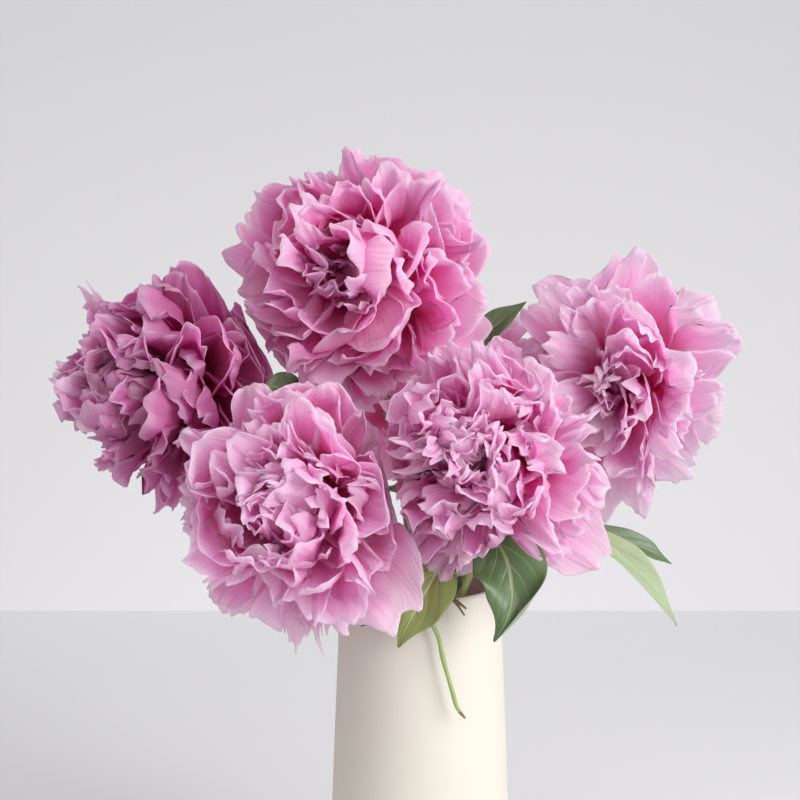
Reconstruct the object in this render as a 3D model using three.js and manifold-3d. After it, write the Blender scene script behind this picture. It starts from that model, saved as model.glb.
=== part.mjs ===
// Peonies in a vase: six double peonies on leafy stems, standing in water in a tapered stoneware vase.
// Millimetres, +Z up, with the origin at the middle of the vase's flat base. -Y is the front.
import * as THREE from "three";
import { mergeVertices } from "three/addons/utils/BufferGeometryUtils.js";
import Module from "manifold-3d";

const wasm = await Module();
wasm.setup();

// ---- Driving dimensions -------------------------------------------------------------------------

const VASE = { height: 220, baseRadius: 56, rimRadius: 47, wall: 4.6, floor: 7, foot: 2.5, segments: 40 };
// The lip is rounded in two shoulders, drawn in by a share of half the wall.
const LIP = { shoulder: 0.3 };
const WATER = { level: 140, gap: 0.4, segments: 20 };
// A stem stands at foot, drawn in by splay from where it passes the vase's mouth.
const STEM = { radius: 3.2, sides: 6, steps: 10, foot: 8.5, splay: 0.91, mouthDepth: 8, arch: 0.06 };
const STALK = { radius: 1.5, sides: 6, steps: 3, bend: 0.55 };
// The calyx is a cup, widest at its belly and drawn in to shoulder at both ends.
const CALYX = { radius: 9, top: 1.2, depth: 9, sides: 8, shoulder: 0.8, belly: 0.2, waist: 0.55 };
const SEPAL = {
  count: 5,
  thickness: 1.1,
  launch: 118,
  tip: 96,
  length: [0.36, 0.46],
  half: 0.11,
  root: 0.45,
  drop: 0.35,
};
// The dense middle of a bloom, in shares of its radius.
const CORE = { radius: 0.5, height: 0.48, rise: 0.5, around: 10, stacked: 6 };
const PETAL = { thickness: 0.9, rows: 2, columns: 3, width: 1.4, guards: 7, guardRows: 3 };
// How a petal's rib is followed: its steps, how far it runs on, and when its curl sets in.
const RIB = { steps: 48, overrun: 1.05, late: 0.5, ease: 1.6, turn: 0.9 };
// A petal's outline: its claw is narrow, it is widest at its shoulder, and its end is rounded.
const OUTLINE = {
  claw: 0.14,
  shoulder: 0.8,
  widening: 1.35,
  tuck: 0.12,
  rounding: 0.34,
  square: 2.8,
  late: 1.5,
};
const CUPPING = { claw: 0.35, turn: 0.75 };
// The two waves that ruffle a petal: their height, how fast they run across and how they drift along.
const WAVES = [
  { height: 1.3, across: 3.4, along: 1.5 },
  { height: 0.8, across: 7, along: -2 },
];
// How far chance moves each value of a petal, either way or between two factors.
const CHANCE = {
  around: 0.12,
  launch: 6,
  tip: 8,
  flare: 0.8,
  length: [0.94, 1.12],
  half: [0.85, 1.15],
  cup: [0.6, 1.3],
  ruffle: [0.5, 1.2],
  twist: 4,
  warp: 8,
  sway: 0.07,
};
const SHOW = { base: 0.1, rise: 0.08 };
// How the petals of two blooms are kept apart.
const PARTING = { clear: 1.0, yielding: 7, foremost: 1.25 };
const LEAF = { thickness: 0.9, rows: 6, columns: 4, foot: 0.1, fullness: 0.85, past: 1.5 };
// A leaf's margin rolls from a share of its half width outwards, and along the leaf from start to full.
const HEM = { from: 0.3, start: 0.35, full: 0.75 };
const RIPPLE = { height: 0.06, along: 9, across: 3 };
const CLEARANCE = 0.35; // between two nodes that touch
const BASE_SHARE = 0.5; // how far behind a bloom's centre its petals are rooted, in radii

const PINK = 0xdd7fb0;
const STEM_GREEN = 0x8fa862;
const LEAF_GREEN = 0x4f7044;
const CREAM = 0xf0ebdd;
const WATER_BLUE = 0xdfeaf0;

// A bloom's petals stand in a spiral, each a golden turn on from the last. Each list holds values at even
// steps from the outermost petal to the innermost. Angles are degrees from the bloom's axis: launch where
// a petal leaves the base, tip where it ends, curl the extra turn of its last part and flare how far
// chance adds to the curl. Lengths and widths are shares of the bloom's radius.
const GOLDEN_TURN = Math.PI * (3 - Math.sqrt(5));
const OPEN = {
  count: 15,
  launch: [107, 98, 87, 70, 48, 22],
  tip: [94, 74, 52, 30, 10, -4],
  length: [1.1, 1.1, 1.15, 1.2, 1.18, 1.0],
  half: [0.62, 0.52, 0.43, 0.37, 0.33, 0.27],
  cup: [0.45, 0.8, 0.95, 1.0, 1.0, 1.0],
  curl: [2, 0, -4, -8, -12, -12],
  flare: [10, 18, 22, 24, 24, 20],
  ruffle: [0.02, 0.035, 0.042, 0.042, 0.04, 0.034],
  base: [0.1, 0.11, 0.11, 0.1, 0.08, 0.04],
  rise: [0, 0.03, 0.06, 0.09, 0.12, 0.14],
  twist: 3,
};
const RUFFLED = {
  ...OPEN,
  count: 15,
  launch: [108, 99, 88, 68, 42, 8],
  tip: [95, 70, 42, 16, -2, -4],
  length: [1.12, 1.1, 1.15, 1.22, 1.24, 1.14],
  half: [0.6, 0.48, 0.38, 0.32, 0.29, 0.25],
  flare: [10, 26, 34, 36, 34, 30],
  ruffle: [0.022, 0.045, 0.055, 0.055, 0.052, 0.045],
  twist: 3,
};

// centre is the middle of the bloom's head, and facing the way its opening looks. shows are the petals
// that stand out: around is counted from the bloom's right towards its top, in degrees.
const BLOOMS = [
  {
    name: "top",
    centre: [-41, 5, 402],
    facing: [-0.24, -0.93, 0.29],
    radius: 66,
    seed: 11,
    neck: 18,
    mouth: [-3, 6],
    plan: OPEN,
    shows: [
      { around: 10, launch: 36, tip: -14, length: 1.24, half: 0.6, cup: 1.9, curl: -22, base: 0.2 },
      { around: -58, launch: 52, tip: 62, length: 1.02, half: 0.32, cup: 0.5, curl: 8 },
      { around: -34, launch: 104, tip: 100, length: 1.42, half: 0.42, cup: 0.3 },
    ],
  },
  {
    name: "left",
    centre: [-155, 15, 334],
    facing: [-0.62, -0.75, 0.2],
    radius: 63,
    seed: 23,
    neck: 16,
    mouth: [-24, 8],
    plan: RUFFLED,
    shows: [
      { around: 120, launch: 40, tip: -20, length: 1.3, half: 0.42, cup: 1.4, curl: -10 },
      { around: 20, launch: 98, tip: 88, length: 1.36, half: 0.52, cup: 0.4 },
    ],
  },
  {
    name: "front_left",
    centre: [-73.5, -62, 282.5],
    facing: [-0.2, -0.93, 0.3],
    radius: 61,
    seed: 37,
    neck: 16,
    mouth: [-17, -10],
    plan: OPEN,
    shows: [
      { around: -36, launch: 88, tip: 78, length: 1.8, half: 0.58, cup: 0.2 },
      { around: -15, launch: 44, tip: -34, length: 1.24, half: 0.38, cup: 1.3, curl: -10, base: 0.16 },
      { around: 205, launch: 66, tip: 14, length: 1.26, half: 0.5, cup: 1.2, curl: -8 },
    ],
  },
  {
    name: "front_right",
    centre: [33, -62, 307],
    facing: [-0.15, -0.94, 0.3],
    radius: 59,
    seed: 41,
    neck: 16,
    mouth: [12, -14],
    plan: RUFFLED,
    shows: [
      { around: -41, launch: 100, tip: 96, length: 1.4, half: 0.43, cup: 0.3 },
      { around: -103, launch: 101, tip: 101, length: 1.38, half: 0.28, cup: 0.3 },
      { around: -152, launch: 98, tip: 88, length: 1.34, half: 0.4, cup: 0.4 },
    ],
  },
  {
    name: "right",
    centre: [111.5, 18, 334],
    facing: [-0.35, -0.93, 0.02],
    radius: 60,
    seed: 59,
    neck: 16,
    mouth: [24, 4],
    plan: OPEN,
    shows: [{ around: -100, launch: 98, tip: 94, length: 1.45, half: 0.32, cup: 0.4 }],
  },
  {
    name: "back",
    centre: [13, 92, 329],
    facing: [0.2, 0.75, 0.6],
    radius: 59,
    seed: 67,
    neck: 16,
    mouth: [6, 24],
    plan: RUFFLED,
    shows: [],
  },
];

// Each leaf's stalk leaves its stem at a height. rib holds the blade's foot, crown and tip, up is the way
// its upper face looks, belly moves its widest part towards the foot (below 1) or the tip, and hem rolls
// its two margins up, left and right, in degrees.
const LEAVES = [
  {
    name: "leaf_front_left",
    stem: "front_right",
    height: 238,
    rib: [[17, -44, 246], [5, -65, 239], [-13, -58, 196]],
    up: [-0.2, -1, 0.4],
    half: 17,
    fold: 0.22,
    belly: 1.1,
    hem: [0, 0],
  },
  {
    name: "leaf_front_right",
    stem: "front_right",
    height: 262,
    rib: [[38, -50, 260], [62, -82, 238], [40, -79, 205]],
    up: [0.15, -1, 0.35],
    half: 19,
    fold: 0.12,
    belly: 0.66,
    hem: [0, 100],
  },
  {
    name: "leaf_right_pale",
    stem: "right",
    height: 250,
    rib: [[91, -20, 256], [123, -38, 247], [147, -34, 202]],
    up: [0.35, -0.75, 0.7],
    half: 7.5,
    fold: 0.35,
    belly: 0.9,
    hem: [0, 0],
  },
  {
    name: "leaf_right_dark",
    stem: "right",
    height: 262,
    rib: [[99, -8, 256], [127, -12, 245], [147, -2, 231]],
    up: [0.3, -0.7, 0.7],
    half: 7,
    fold: 0.4,
    belly: 1.0,
    hem: [0, 0],
  },
  {
    name: "leaf_upper",
    stem: "top",
    height: 322,
    rib: [[27, 31, 354], [46, 24, 370], [62, 20, 383]],
    up: [-0.45, -0.85, 0.3],
    half: 9,
    fold: 0.45,
    belly: 0.72,
    hem: [0, 0],
  },
  {
    name: "leaf_inner_left",
    stem: "left",
    height: 296,
    rib: [[-76, 14, 320], [-78, 0, 340], [-91, -8, 336]],
    up: [0, -1, 0.4],
    half: 11,
    fold: 0.25,
    belly: 0.8,
    hem: [0, 0],
  },
  {
    name: "leaf_low_left",
    stem: "front_left",
    height: 226,
    rib: [[-9, -36, 228], [-20, -65, 221], [-34, -58, 208]],
    up: [-0.2, -1, 0.5],
    half: 7,
    fold: 0.3,
    belly: 0.72,
    hem: [0, 0],
  },
  {
    name: "leaf_mouth",
    stem: "front_right",
    height: 226,
    rib: [[18, -37, 235], [15, -55, 230], [8, -52, 214]],
    up: [0, -1, 0.6],
    half: 8,
    fold: 0.3,
    belly: 0.72,
    hem: [0, 0],
  },
  {
    name: "leaf_back_left",
    stem: "back",
    height: 240,
    rib: [[-14, 58, 262], [-38, 88, 262], [-58, 104, 232]],
    up: [-0.3, 0.5, 1],
    half: 15,
    fold: 0.3,
    belly: 0.72,
    hem: [0, 0],
  },
  {
    name: "leaf_back_right",
    stem: "back",
    height: 246,
    rib: [[36, 60, 258], [60, 84, 252], [76, 96, 220]],
    up: [0.4, 0.5, 1],
    half: 15,
    fold: 0.3,
    belly: 0.72,
    hem: [0, 0],
  },
  {
    name: "leaf_far_left",
    stem: "left",
    height: 268,
    rib: [[-96, 46, 280], [-124, 56, 272], [-146, 58, 244]],
    up: [-0.4, 0.3, 1],
    half: 14,
    fold: 0.3,
    belly: 0.72,
    hem: [0, 0],
  },
  {
    name: "leaf_far_right",
    stem: "right",
    height: 280,
    rib: [[106, 58, 284], [122, 80, 276], [132, 96, 248]],
    up: [0.4, 0.5, 1],
    half: 14,
    fold: 0.3,
    belly: 0.72,
    hem: [0, 0],
  },
];

// A leaf stalk that has lost its blade: it leans over the rim and hangs down the front of the vase.
const BARE_STALK = {
  radius: 1.7,
  steps: 12,
  route: [
    [9, -22, 214],
    [6, -36, 226],
    [4, -47, 227],
    [5, -53.5, 215],
    [17, -54.5, 190],
    [20, -55, 170],
    [26, -56, 154],
  ],
};

// ---- Chance, meshes and booleans ----------------------------------------------------------------

// A repeatable draw from 0 to 1 for one item of one seed.
function chance(seed, item, draw) {
  const wave = Math.sin(seed * 12.9898 + item * 78.233 + draw * 37.719) * 43758.5453;
  return wave - Math.floor(wave);
}

const between = (seed, item, draw, low, high) => low + (high - low) * chance(seed, item, draw);
const radians = THREE.MathUtils.degToRad;
const vector = (numbers) => new THREE.Vector3(...numbers);

// A closed three.js geometry as a manifold-3d solid.
function solidFrom(geometry) {
  const bare = geometry.clone();
  bare.deleteAttribute("normal");
  bare.deleteAttribute("uv");
  const merged = mergeVertices(bare, 1e-4);
  return new wasm.Manifold(
    new wasm.Mesh({
      numProp: 3,
      vertProperties: new Float32Array(merged.attributes.position.array),
      triVerts: new Uint32Array(merged.index.array),
    }),
  );
}

// A manifold-3d solid as a three.js geometry with flat normals.
function geometryFrom(solid) {
  const mesh = solid.getMesh();
  const positions = new Float32Array(mesh.numVert * 3);
  for (let i = 0; i < mesh.numVert; i++) {
    positions.set(mesh.vertProperties.subarray(i * mesh.numProp, i * mesh.numProp + 3), i * 3);
  }
  const geometry = new THREE.BufferGeometry();
  geometry.setAttribute("position", new THREE.BufferAttribute(positions, 3));
  geometry.setIndex(new THREE.BufferAttribute(new Uint32Array(mesh.triVerts), 1));
  geometry.computeVertexNormals();
  return geometry;
}

// The largest body of a solid, without the loose scraps that a cut leaves.
function largestBody(solid) {
  return solid.decompose().reduce((best, body) => (body.volume() > best.volume() ? body : best));
}

const unionOf = (solids) => solids.reduce((all, one) => all.add(one));
const cutBy = (solid, cutters) => cutters.reduce((left, cutter) => left.subtract(cutter), solid);

// A grid of points thickened into a closed blade. Both faces are split along the same diagonals.
function bladeFrom(grid, thickness) {
  const rows = grid.length;
  const columns = grid[0].length;
  const positions = [];
  const normalAt = (i, j) => {
    const along = grid[Math.min(i + 1, rows - 1)][j].clone().sub(grid[Math.max(i - 1, 0)][j]);
    const across = grid[i][Math.min(j + 1, columns - 1)].clone().sub(grid[i][Math.max(j - 1, 0)]);
    return across.cross(along).normalize();
  };
  for (const side of [0.5, -0.5]) {
    for (let i = 0; i < rows; i++) {
      for (let j = 0; j < columns; j++) {
        positions.push(...grid[i][j].clone().addScaledVector(normalAt(i, j), side * thickness).toArray());
      }
    }
  }
  const top = (i, j) => i * columns + j;
  const under = rows * columns;
  const index = [];
  for (let i = 0; i < rows - 1; i++) {
    for (let j = 0; j < columns - 1; j++) {
      const [a, b, c, d] = [top(i, j), top(i + 1, j), top(i + 1, j + 1), top(i, j + 1)];
      index.push(a, d, c, a, c, b);
      index.push(under + a, under + c, under + d, under + a, under + b, under + c);
    }
  }
  const rim = [];
  for (let j = 0; j < columns - 1; j++) rim.push(top(0, j));
  for (let i = 0; i < rows - 1; i++) rim.push(top(i, columns - 1));
  for (let j = columns - 1; j > 0; j--) rim.push(top(rows - 1, j));
  for (let i = rows - 1; i > 0; i--) rim.push(top(i, 0));
  rim.forEach((one, k) => {
    const next = rim[(k + 1) % rim.length];
    index.push(one, under + one, under + next, one, under + next, next);
  });
  const geometry = new THREE.BufferGeometry();
  geometry.setAttribute("position", new THREE.Float32BufferAttribute(positions, 3));
  geometry.setIndex(index);
  return solidFrom(geometry);
}

// A round rod along a curve.
function rodAlong(curve, radius, sides, steps) {
  const section = new THREE.Shape().absarc(0, 0, radius, 0, 2 * Math.PI);
  const options = { steps, curveSegments: sides / 2, bevelEnabled: false, extrudePath: curve };
  return solidFrom(new THREE.ExtrudeGeometry(section, options));
}

// ---- Vase and water -----------------------------------------------------------------------------

const innerRadiusAt = (z) =>
  THREE.MathUtils.lerp(VASE.baseRadius, VASE.rimRadius, z / VASE.height) - VASE.wall;

// An outline of radius and height turned about +Z.
function turnedSolid(outline, segments) {
  const lathe = new THREE.LatheGeometry(outline.map(([r, z]) => new THREE.Vector2(r, z)), segments);
  return solidFrom(lathe.rotateX(Math.PI / 2));
}

function vaseSolid() {
  const { height, baseRadius, rimRadius, wall, floor, foot, segments } = VASE;
  const lip = wall / 2;
  const shoulder = lip * LIP.shoulder;
  const outline = [
    [0, 0],
    [baseRadius - foot, 0],
    [baseRadius, foot],
    [rimRadius, height - lip],
    [rimRadius - shoulder, height - shoulder],
    [rimRadius - lip, height],
    [rimRadius - wall + shoulder, height - shoulder],
    [rimRadius - wall, height - lip],
    [innerRadiusAt(floor + 2 * foot), floor + 2 * foot],
    [innerRadiusAt(floor) - 2 * foot, floor],
    [0, floor],
  ];
  return turnedSolid(outline, segments);
}

function waterSolid() {
  const low = VASE.floor + WATER.gap;
  const foot = low + 2 * VASE.foot;
  const outline = [
    [0, low],
    [innerRadiusAt(low) - 2 * VASE.foot - 2 * WATER.gap, low],
    [innerRadiusAt(foot) - 2 * WATER.gap, foot],
    [innerRadiusAt(WATER.level) - 2 * WATER.gap, WATER.level],
    [0, WATER.level],
  ];
  return turnedSolid(outline, WATER.segments);
}

// ---- Stems --------------------------------------------------------------------------------------

const axisOf = (bloom) => vector(bloom.facing).normalize();
// The point where the petals join the stem.
const baseOf = (bloom) => vector(bloom.centre).addScaledVector(axisOf(bloom), -BASE_SHARE * bloom.radius);

// A frame with its origin at the bloom's base, +Z along its axis and +X as far to the right as it goes.
function frameOf(bloom) {
  const axis = axisOf(bloom);
  const right = new THREE.Vector3(1, 0, 0).addScaledVector(axis, -axis.x).normalize();
  const frame = new THREE.Matrix4().makeBasis(right, axis.clone().cross(right), axis);
  return frame.setPosition(baseOf(bloom));
}

function stemCurve(bloom) {
  const [x, y] = bloom.mouth;
  const base = baseOf(bloom);
  const axis = axisOf(bloom);
  const neck = base.clone().addScaledVector(axis, -CALYX.depth - bloom.neck);
  const mouth = new THREE.Vector3(x, y, VASE.height - STEM.mouthDepth);
  const rising = mouth.clone().lerp(neck, 0.5);
  rising.z += STEM.arch * mouth.distanceTo(neck);
  const points = [
    new THREE.Vector3(x * STEM.splay, y * STEM.splay, STEM.foot),
    new THREE.Vector3(x * STEM.splay, y * STEM.splay, VASE.height / 2),
    mouth,
    rising,
    neck,
    base.clone().addScaledVector(axis, -CALYX.depth * CALYX.waist),
  ];
  return new THREE.CatmullRomCurve3(points, false, "centripetal");
}

// The green cup that the petals stand on, with its sepals. swell makes it thicker all round.
function calyxSolid(bloom, swell) {
  const { radius, top, depth, sides, shoulder, belly, waist } = CALYX;
  const outline = [
    [0, -depth - swell],
    [STEM.radius + swell, -depth - swell],
    [radius * shoulder + swell, -depth * waist - swell],
    [radius + swell, -depth * belly],
    [radius * shoulder + swell, top + swell],
    [0, top + swell],
  ];
  const blades = Array.from({ length: SEPAL.count }, (unused, k) => {
    const sepal = {
      ...FLAT_PETAL,
      around: (2 * Math.PI * k) / SEPAL.count,
      launch: radians(SEPAL.launch),
      tip: radians(SEPAL.tip),
      length: bloom.radius * between(bloom.seed, k, 90, ...SEPAL.length),
      half: bloom.radius * SEPAL.half + swell,
      base: radius * SEPAL.root,
      rise: -depth * SEPAL.drop,
    };
    return bladeFrom(petalGrid(sepal, 2, 2), SEPAL.thickness + 2 * swell);
  });
  return unionOf([turnedSolid(outline, sides), ...blades]).transform(frameOf(bloom).elements);
}

function stemSolid(bloom, swell = 0) {
  const rod = rodAlong(stemCurve(bloom), STEM.radius + swell, STEM.sides, STEM.steps);
  return rod.add(calyxSolid(bloom, swell));
}

// ---- Leaves -------------------------------------------------------------------------------------

// The point of a leaf's stem at the height where its stalk leaves it.
function rootOf(leaf) {
  const curve = stemCurve(BLOOMS.find((bloom) => bloom.name === leaf.stem));
  return curve.getPoints(200).find((point) => point.z >= leaf.height);
}

// Half the blade's cross-section: it rises by the fold, and its margin rolls up by the hem.
function halfSection(leaf, side, s) {
  const count = LEAF.columns / 2;
  const { smoothstep } = THREE.MathUtils;
  const roll = radians(leaf.hem[side < 0 ? 0 : 1]) * smoothstep(s, HEM.start, HEM.full);
  const section = [{ out: 0, lift: 0 }];
  for (let k = 0; k < count; k++) {
    const angle = Math.atan(leaf.fold) + roll * smoothstep((k + 0.5) / count, HEM.from, 1);
    const last = section[k];
    section.push({ out: last.out + Math.cos(angle) / count, lift: last.lift + Math.sin(angle) / count });
  }
  return section;
}

// The blade runs along a curved rib. Its half width rises fast and tapers to the tip.
function leafSolid(leaf, swell = 0) {
  const [foot, crown, tip] = leaf.rib.map(vector);
  const root = rootOf(leaf);
  const bend = root.clone().lerp(foot, STALK.bend);
  const stalk = new THREE.CatmullRomCurve3([root, bend, foot], false, "centripetal");
  const rib = new THREE.QuadraticBezierCurve3(foot, crown, tip);
  const up = vector(leaf.up).normalize();
  const grid = [];
  for (let i = 0; i <= LEAF.rows; i++) {
    const s = i / LEAF.rows;
    const along = rib.getTangent(s);
    const past = LEAF.past * swell * ((i === LEAF.rows) - (i === 0));
    const point = rib.getPoint(s).addScaledVector(along, past);
    const across = along.clone().cross(up).normalize();
    const face = across.clone().cross(along).normalize();
    const breadth = Math.sin(Math.PI * s ** leaf.belly) ** LEAF.fullness;
    const width = leaf.half * (LEAF.foot + (1 - LEAF.foot) * breadth) + swell;
    const row = [];
    for (let j = 0; j <= LEAF.columns; j++) {
      const v = (2 * j) / LEAF.columns - 1;
      const side = Math.sign(v);
      const { out, lift } = halfSection(leaf, side, s)[Math.abs(j - LEAF.columns / 2)];
      const ripple = RIPPLE.height * leaf.half * Math.sin(RIPPLE.along * s + RIPPLE.across * v);
      const place = point.clone().addScaledVector(across, side * out * width);
      row.push(place.addScaledVector(face, lift * width + ripple));
    }
    grid.push(row);
  }
  const rod = rodAlong(stalk, STALK.radius + swell, STALK.sides, STALK.steps);
  return bladeFrom(grid, LEAF.thickness + 2 * swell).add(rod);
}

function bareStalkSolid(swell = 0) {
  const curve = new THREE.CatmullRomCurve3(BARE_STALK.route.map(vector), false, "centripetal");
  return rodAlong(curve, BARE_STALK.radius + swell, STALK.sides, BARE_STALK.steps);
}

// ---- Petals -------------------------------------------------------------------------------------

const FLAT_PETAL = { cup: 0.3, curl: 0, ruffle: 0, twist: 0, warp: 0, sway: 0, phases: [0, 0] };

// A petal's rib: the angle from the axis turns from launch to tip, with the curl added late.
function ribOf(petal) {
  const { steps, overrun, late, ease, turn } = RIB;
  const step = (petal.length * overrun) / steps;
  const stations = [{ r: petal.base, z: petal.rise, angle: petal.launch }];
  for (let k = 1; k <= steps; k++) {
    const t = (k / steps) * overrun;
    const curled = THREE.MathUtils.clamp((t - late) / (1 - late), 0, 1) ** ease;
    const angle = petal.launch + (petal.tip - petal.launch) * t ** turn + petal.curl * curled;
    const last = stations[k - 1];
    const middle = (angle + last.angle) / 2;
    stations.push({ r: last.r + step * Math.sin(middle), z: last.z + step * Math.cos(middle), angle });
  }
  return stations;
}

// The rib's radius, height and angle at a share of its length.
function ribAt(stations, s) {
  const place = Math.min((s / RIB.overrun) * RIB.steps, RIB.steps - 1e-6);
  const [from, to] = [stations[Math.floor(place)], stations[Math.floor(place) + 1]];
  const share = place - Math.floor(place);
  const mix = (key) => THREE.MathUtils.lerp(from[key], to[key], share);
  return { r: mix("r"), z: mix("z"), angle: mix("angle") };
}

// One petal as a grid of points in the bloom's own frame. Its sides rise in an arc of the cup's
// curvature, its far edge is rounded, and a slow wave ruffles it.
function petalGrid(petal, rows, columns) {
  const { claw, shoulder, widening, tuck, rounding, square, late } = OUTLINE;
  const stations = ribOf(petal);
  const outward = new THREE.Vector3(Math.cos(petal.around), Math.sin(petal.around), 0);
  const sideways = new THREE.Vector3(-Math.sin(petal.around), Math.cos(petal.around), 0);
  const upward = new THREE.Vector3(0, 0, 1);
  const grid = [];
  for (let i = 0; i <= rows; i++) {
    const row = [];
    for (let j = 0; j <= columns; j++) {
      const u = i / rows;
      const v = (2 * j) / columns - 1;
      const s = u * (1 - rounding * Math.abs(v) ** square * u ** late);
      const opened = Math.sin((Math.min(u / shoulder, 1) * Math.PI) / 2) ** widening;
      const tucked = tuck * Math.max((u - shoulder) / (1 - shoulder), 0) ** 2;
      const w = v * (claw + (1 - claw) * opened - tucked);
      const { r, z, angle } = ribAt(stations, s);
      const cupped = THREE.MathUtils.lerp(CUPPING.claw, 1, Math.sin(s * Math.PI * CUPPING.turn));
      const bend = (petal.cup / petal.half) * cupped;
      const arc = bend * w * petal.half;
      const waves = WAVES.map((wave, k) => {
        return wave.height * Math.sin(wave.across * w + petal.phases[k] + wave.along * s);
      });
      const lift = (1 - Math.cos(arc)) / bend + petal.ruffle * s ** 3 * (waves[0] + waves[1]);
      const flat = Math.sin(arc) / bend;
      const turn = petal.twist + petal.warp * s;
      const across = flat * Math.cos(turn) - lift * Math.sin(turn) + petal.sway * s * s;
      const inward = flat * Math.sin(turn) + lift * Math.cos(turn);
      const point = new THREE.Vector3()
        .addScaledVector(outward, r - inward * Math.cos(angle))
        .addScaledVector(upward, z + inward * Math.sin(angle))
        .addScaledVector(sideways, across);
      row.push(point);
    }
    grid.push(row);
  }
  return grid;
}

// A value between the two nearest of a list that runs evenly from 0 to 1.
function stationAt(list, share) {
  const place = Math.min(share * (list.length - 1), list.length - 1 - 1e-9);
  const below = Math.floor(place);
  return THREE.MathUtils.lerp(list[below], list[below + 1], place - below);
}

// The petals of a bloom's spiral, each drawn a little unlike its neighbours.
function spiralOf(bloom) {
  const { seed, radius, plan } = bloom;
  return Array.from({ length: plan.count }, (unused, order) => {
    const at = (key) => stationAt(plan[key], order / (plan.count - 1));
    const factor = (number, key) => between(seed, order, number, ...CHANCE[key]);
    const shift = (number, key) => between(seed, order, number, -CHANCE[key], CHANCE[key]);
    return {
      rows: order < PETAL.guards ? PETAL.guardRows : PETAL.rows,
      around: GOLDEN_TURN * (order + shift(1, "around")) + seed,
      launch: radians(at("launch") + shift(2, "launch")),
      tip: radians(at("tip") + shift(3, "tip")),
      curl: radians(at("curl") + at("flare") * shift(4, "flare")),
      length: radius * at("length") * factor(5, "length"),
      half: radius * at("half") * PETAL.width * factor(6, "half"),
      base: radius * at("base"),
      rise: radius * at("rise"),
      cup: at("cup") * factor(7, "cup"),
      ruffle: radius * at("ruffle") * factor(8, "ruffle"),
      twist: radians(plan.twist + shift(10, "twist")),
      warp: radians(shift(11, "warp")),
      sway: radius * shift(12, "sway"),
      phases: [21, 22].map((number) => between(seed, order, number, 0, 2 * Math.PI)),
    };
  });
}

// The petals of a bloom that are given one by one.
function showsOf(bloom) {
  return bloom.shows.map((show) => ({
    ...FLAT_PETAL,
    rows: PETAL.guardRows,
    cup: show.cup,
    around: radians(show.around),
    launch: radians(show.launch),
    tip: radians(show.tip),
    curl: radians(show.curl ?? 0),
    length: bloom.radius * show.length,
    half: bloom.radius * show.half,
    base: bloom.radius * (show.base ?? SHOW.base),
    rise: bloom.radius * SHOW.rise,
  }));
}

// The planes between a bloom and its neighbours, as a normal and how far the bloom reaches along it.
function wallsOf(bloom) {
  const centre = vector(bloom.centre);
  const mine = bloom.radius * PARTING.foremost;
  const walls = [];
  for (const other of BLOOMS) {
    const span = vector(other.centre).sub(centre);
    const apart = span.length();
    const theirs = other.radius * PARTING.foremost;
    if (other === bloom || apart > mine + theirs) continue;
    const share = (apart * apart + mine * mine - theirs * theirs) / (2 * apart);
    const normal = span.normalize();
    walls.push({ normal, reach: share + centre.dot(normal) });
  }
  return walls;
}

// Petals that would cross into a neighbour bend back along the plane between the two.
function bentClear(point, walls) {
  const { clear, yielding } = PARTING;
  for (const { normal, reach } of walls) {
    const room = reach - point.dot(normal) - clear;
    if (room < yielding) {
      const kept = yielding * Math.exp(room / yielding - 1);
      point.addScaledVector(normal, room - kept);
    }
  }
  return point;
}

// A bloom: a small core, with every petal rooted in it and standing out of it.
function bloomSolid(bloom) {
  const frame = frameOf(bloom);
  const walls = wallsOf(bloom);
  const core = new THREE.SphereGeometry(bloom.radius, CORE.around, CORE.stacked)
    .rotateX(Math.PI / 2)
    .scale(CORE.radius, CORE.radius, CORE.height)
    .translate(0, 0, CORE.rise * bloom.radius)
    .applyMatrix4(frame);
  const blades = [...spiralOf(bloom), ...showsOf(bloom)].map((petal) => {
    const grid = petalGrid(petal, petal.rows, PETAL.columns);
    const placed = grid.map((row) => row.map((point) => bentClear(point.applyMatrix4(frame), walls)));
    return bladeFrom(placed, PETAL.thickness);
  });
  return unionOf([solidFrom(core), ...blades]);
}

// ---- The whole object ---------------------------------------------------------------------------

const group = new THREE.Group();

function addNode(name, solid, colour, roughness, extra = {}) {
  const material = new THREE.MeshStandardMaterial({ color: colour, roughness, metalness: 0, ...extra });
  const mesh = new THREE.Mesh(geometryFrom(solid), material);
  mesh.name = name;
  group.add(mesh);
}

const stems = Object.fromEntries(BLOOMS.map((bloom) => [bloom.name, stemSolid(bloom)]));
const wideStems = Object.fromEntries(BLOOMS.map((bloom) => [bloom.name, stemSolid(bloom, CLEARANCE)]));
const vase = vaseSolid();

addNode("vase", vase, CREAM, 0.75);
addNode("water", largestBody(cutBy(waterSolid(), Object.values(wideStems))), WATER_BLUE, 0.05, {
  transparent: true,
  opacity: 0.4,
});
for (const bloom of BLOOMS) addNode("stem_" + bloom.name, stems[bloom.name], STEM_GREEN, 0.6);

const bareStalk = largestBody(cutBy(bareStalkSolid(), Object.values(wideStems)));
addNode("bare_stalk", bareStalk, STEM_GREEN, 0.6);

const widened = [bareStalkSolid(CLEARANCE)];
for (const leaf of LEAVES) {
  const cutters = [...Object.values(wideStems), ...widened];
  addNode(leaf.name, largestBody(cutBy(leafSolid(leaf), cutters)), LEAF_GREEN, 0.5);
  widened.push(leafSolid(leaf, CLEARANCE));
}

for (const bloom of BLOOMS) {
  const cutters = [...Object.values(wideStems), ...widened];
  addNode("bloom_" + bloom.name, largestBody(cutBy(bloomSolid(bloom), cutters)), PINK, 0.65);
}

export default group;
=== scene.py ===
"""Six double peonies on leafy stems in a tall stoneware vase, finished for close viewing.

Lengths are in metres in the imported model's frame: +Z up, the vase's axis on Z with its base at z = 0, and
the front of the bouquet towards -Y. Every piece is a surface worked out on a grid of two parameters.
"""

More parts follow.
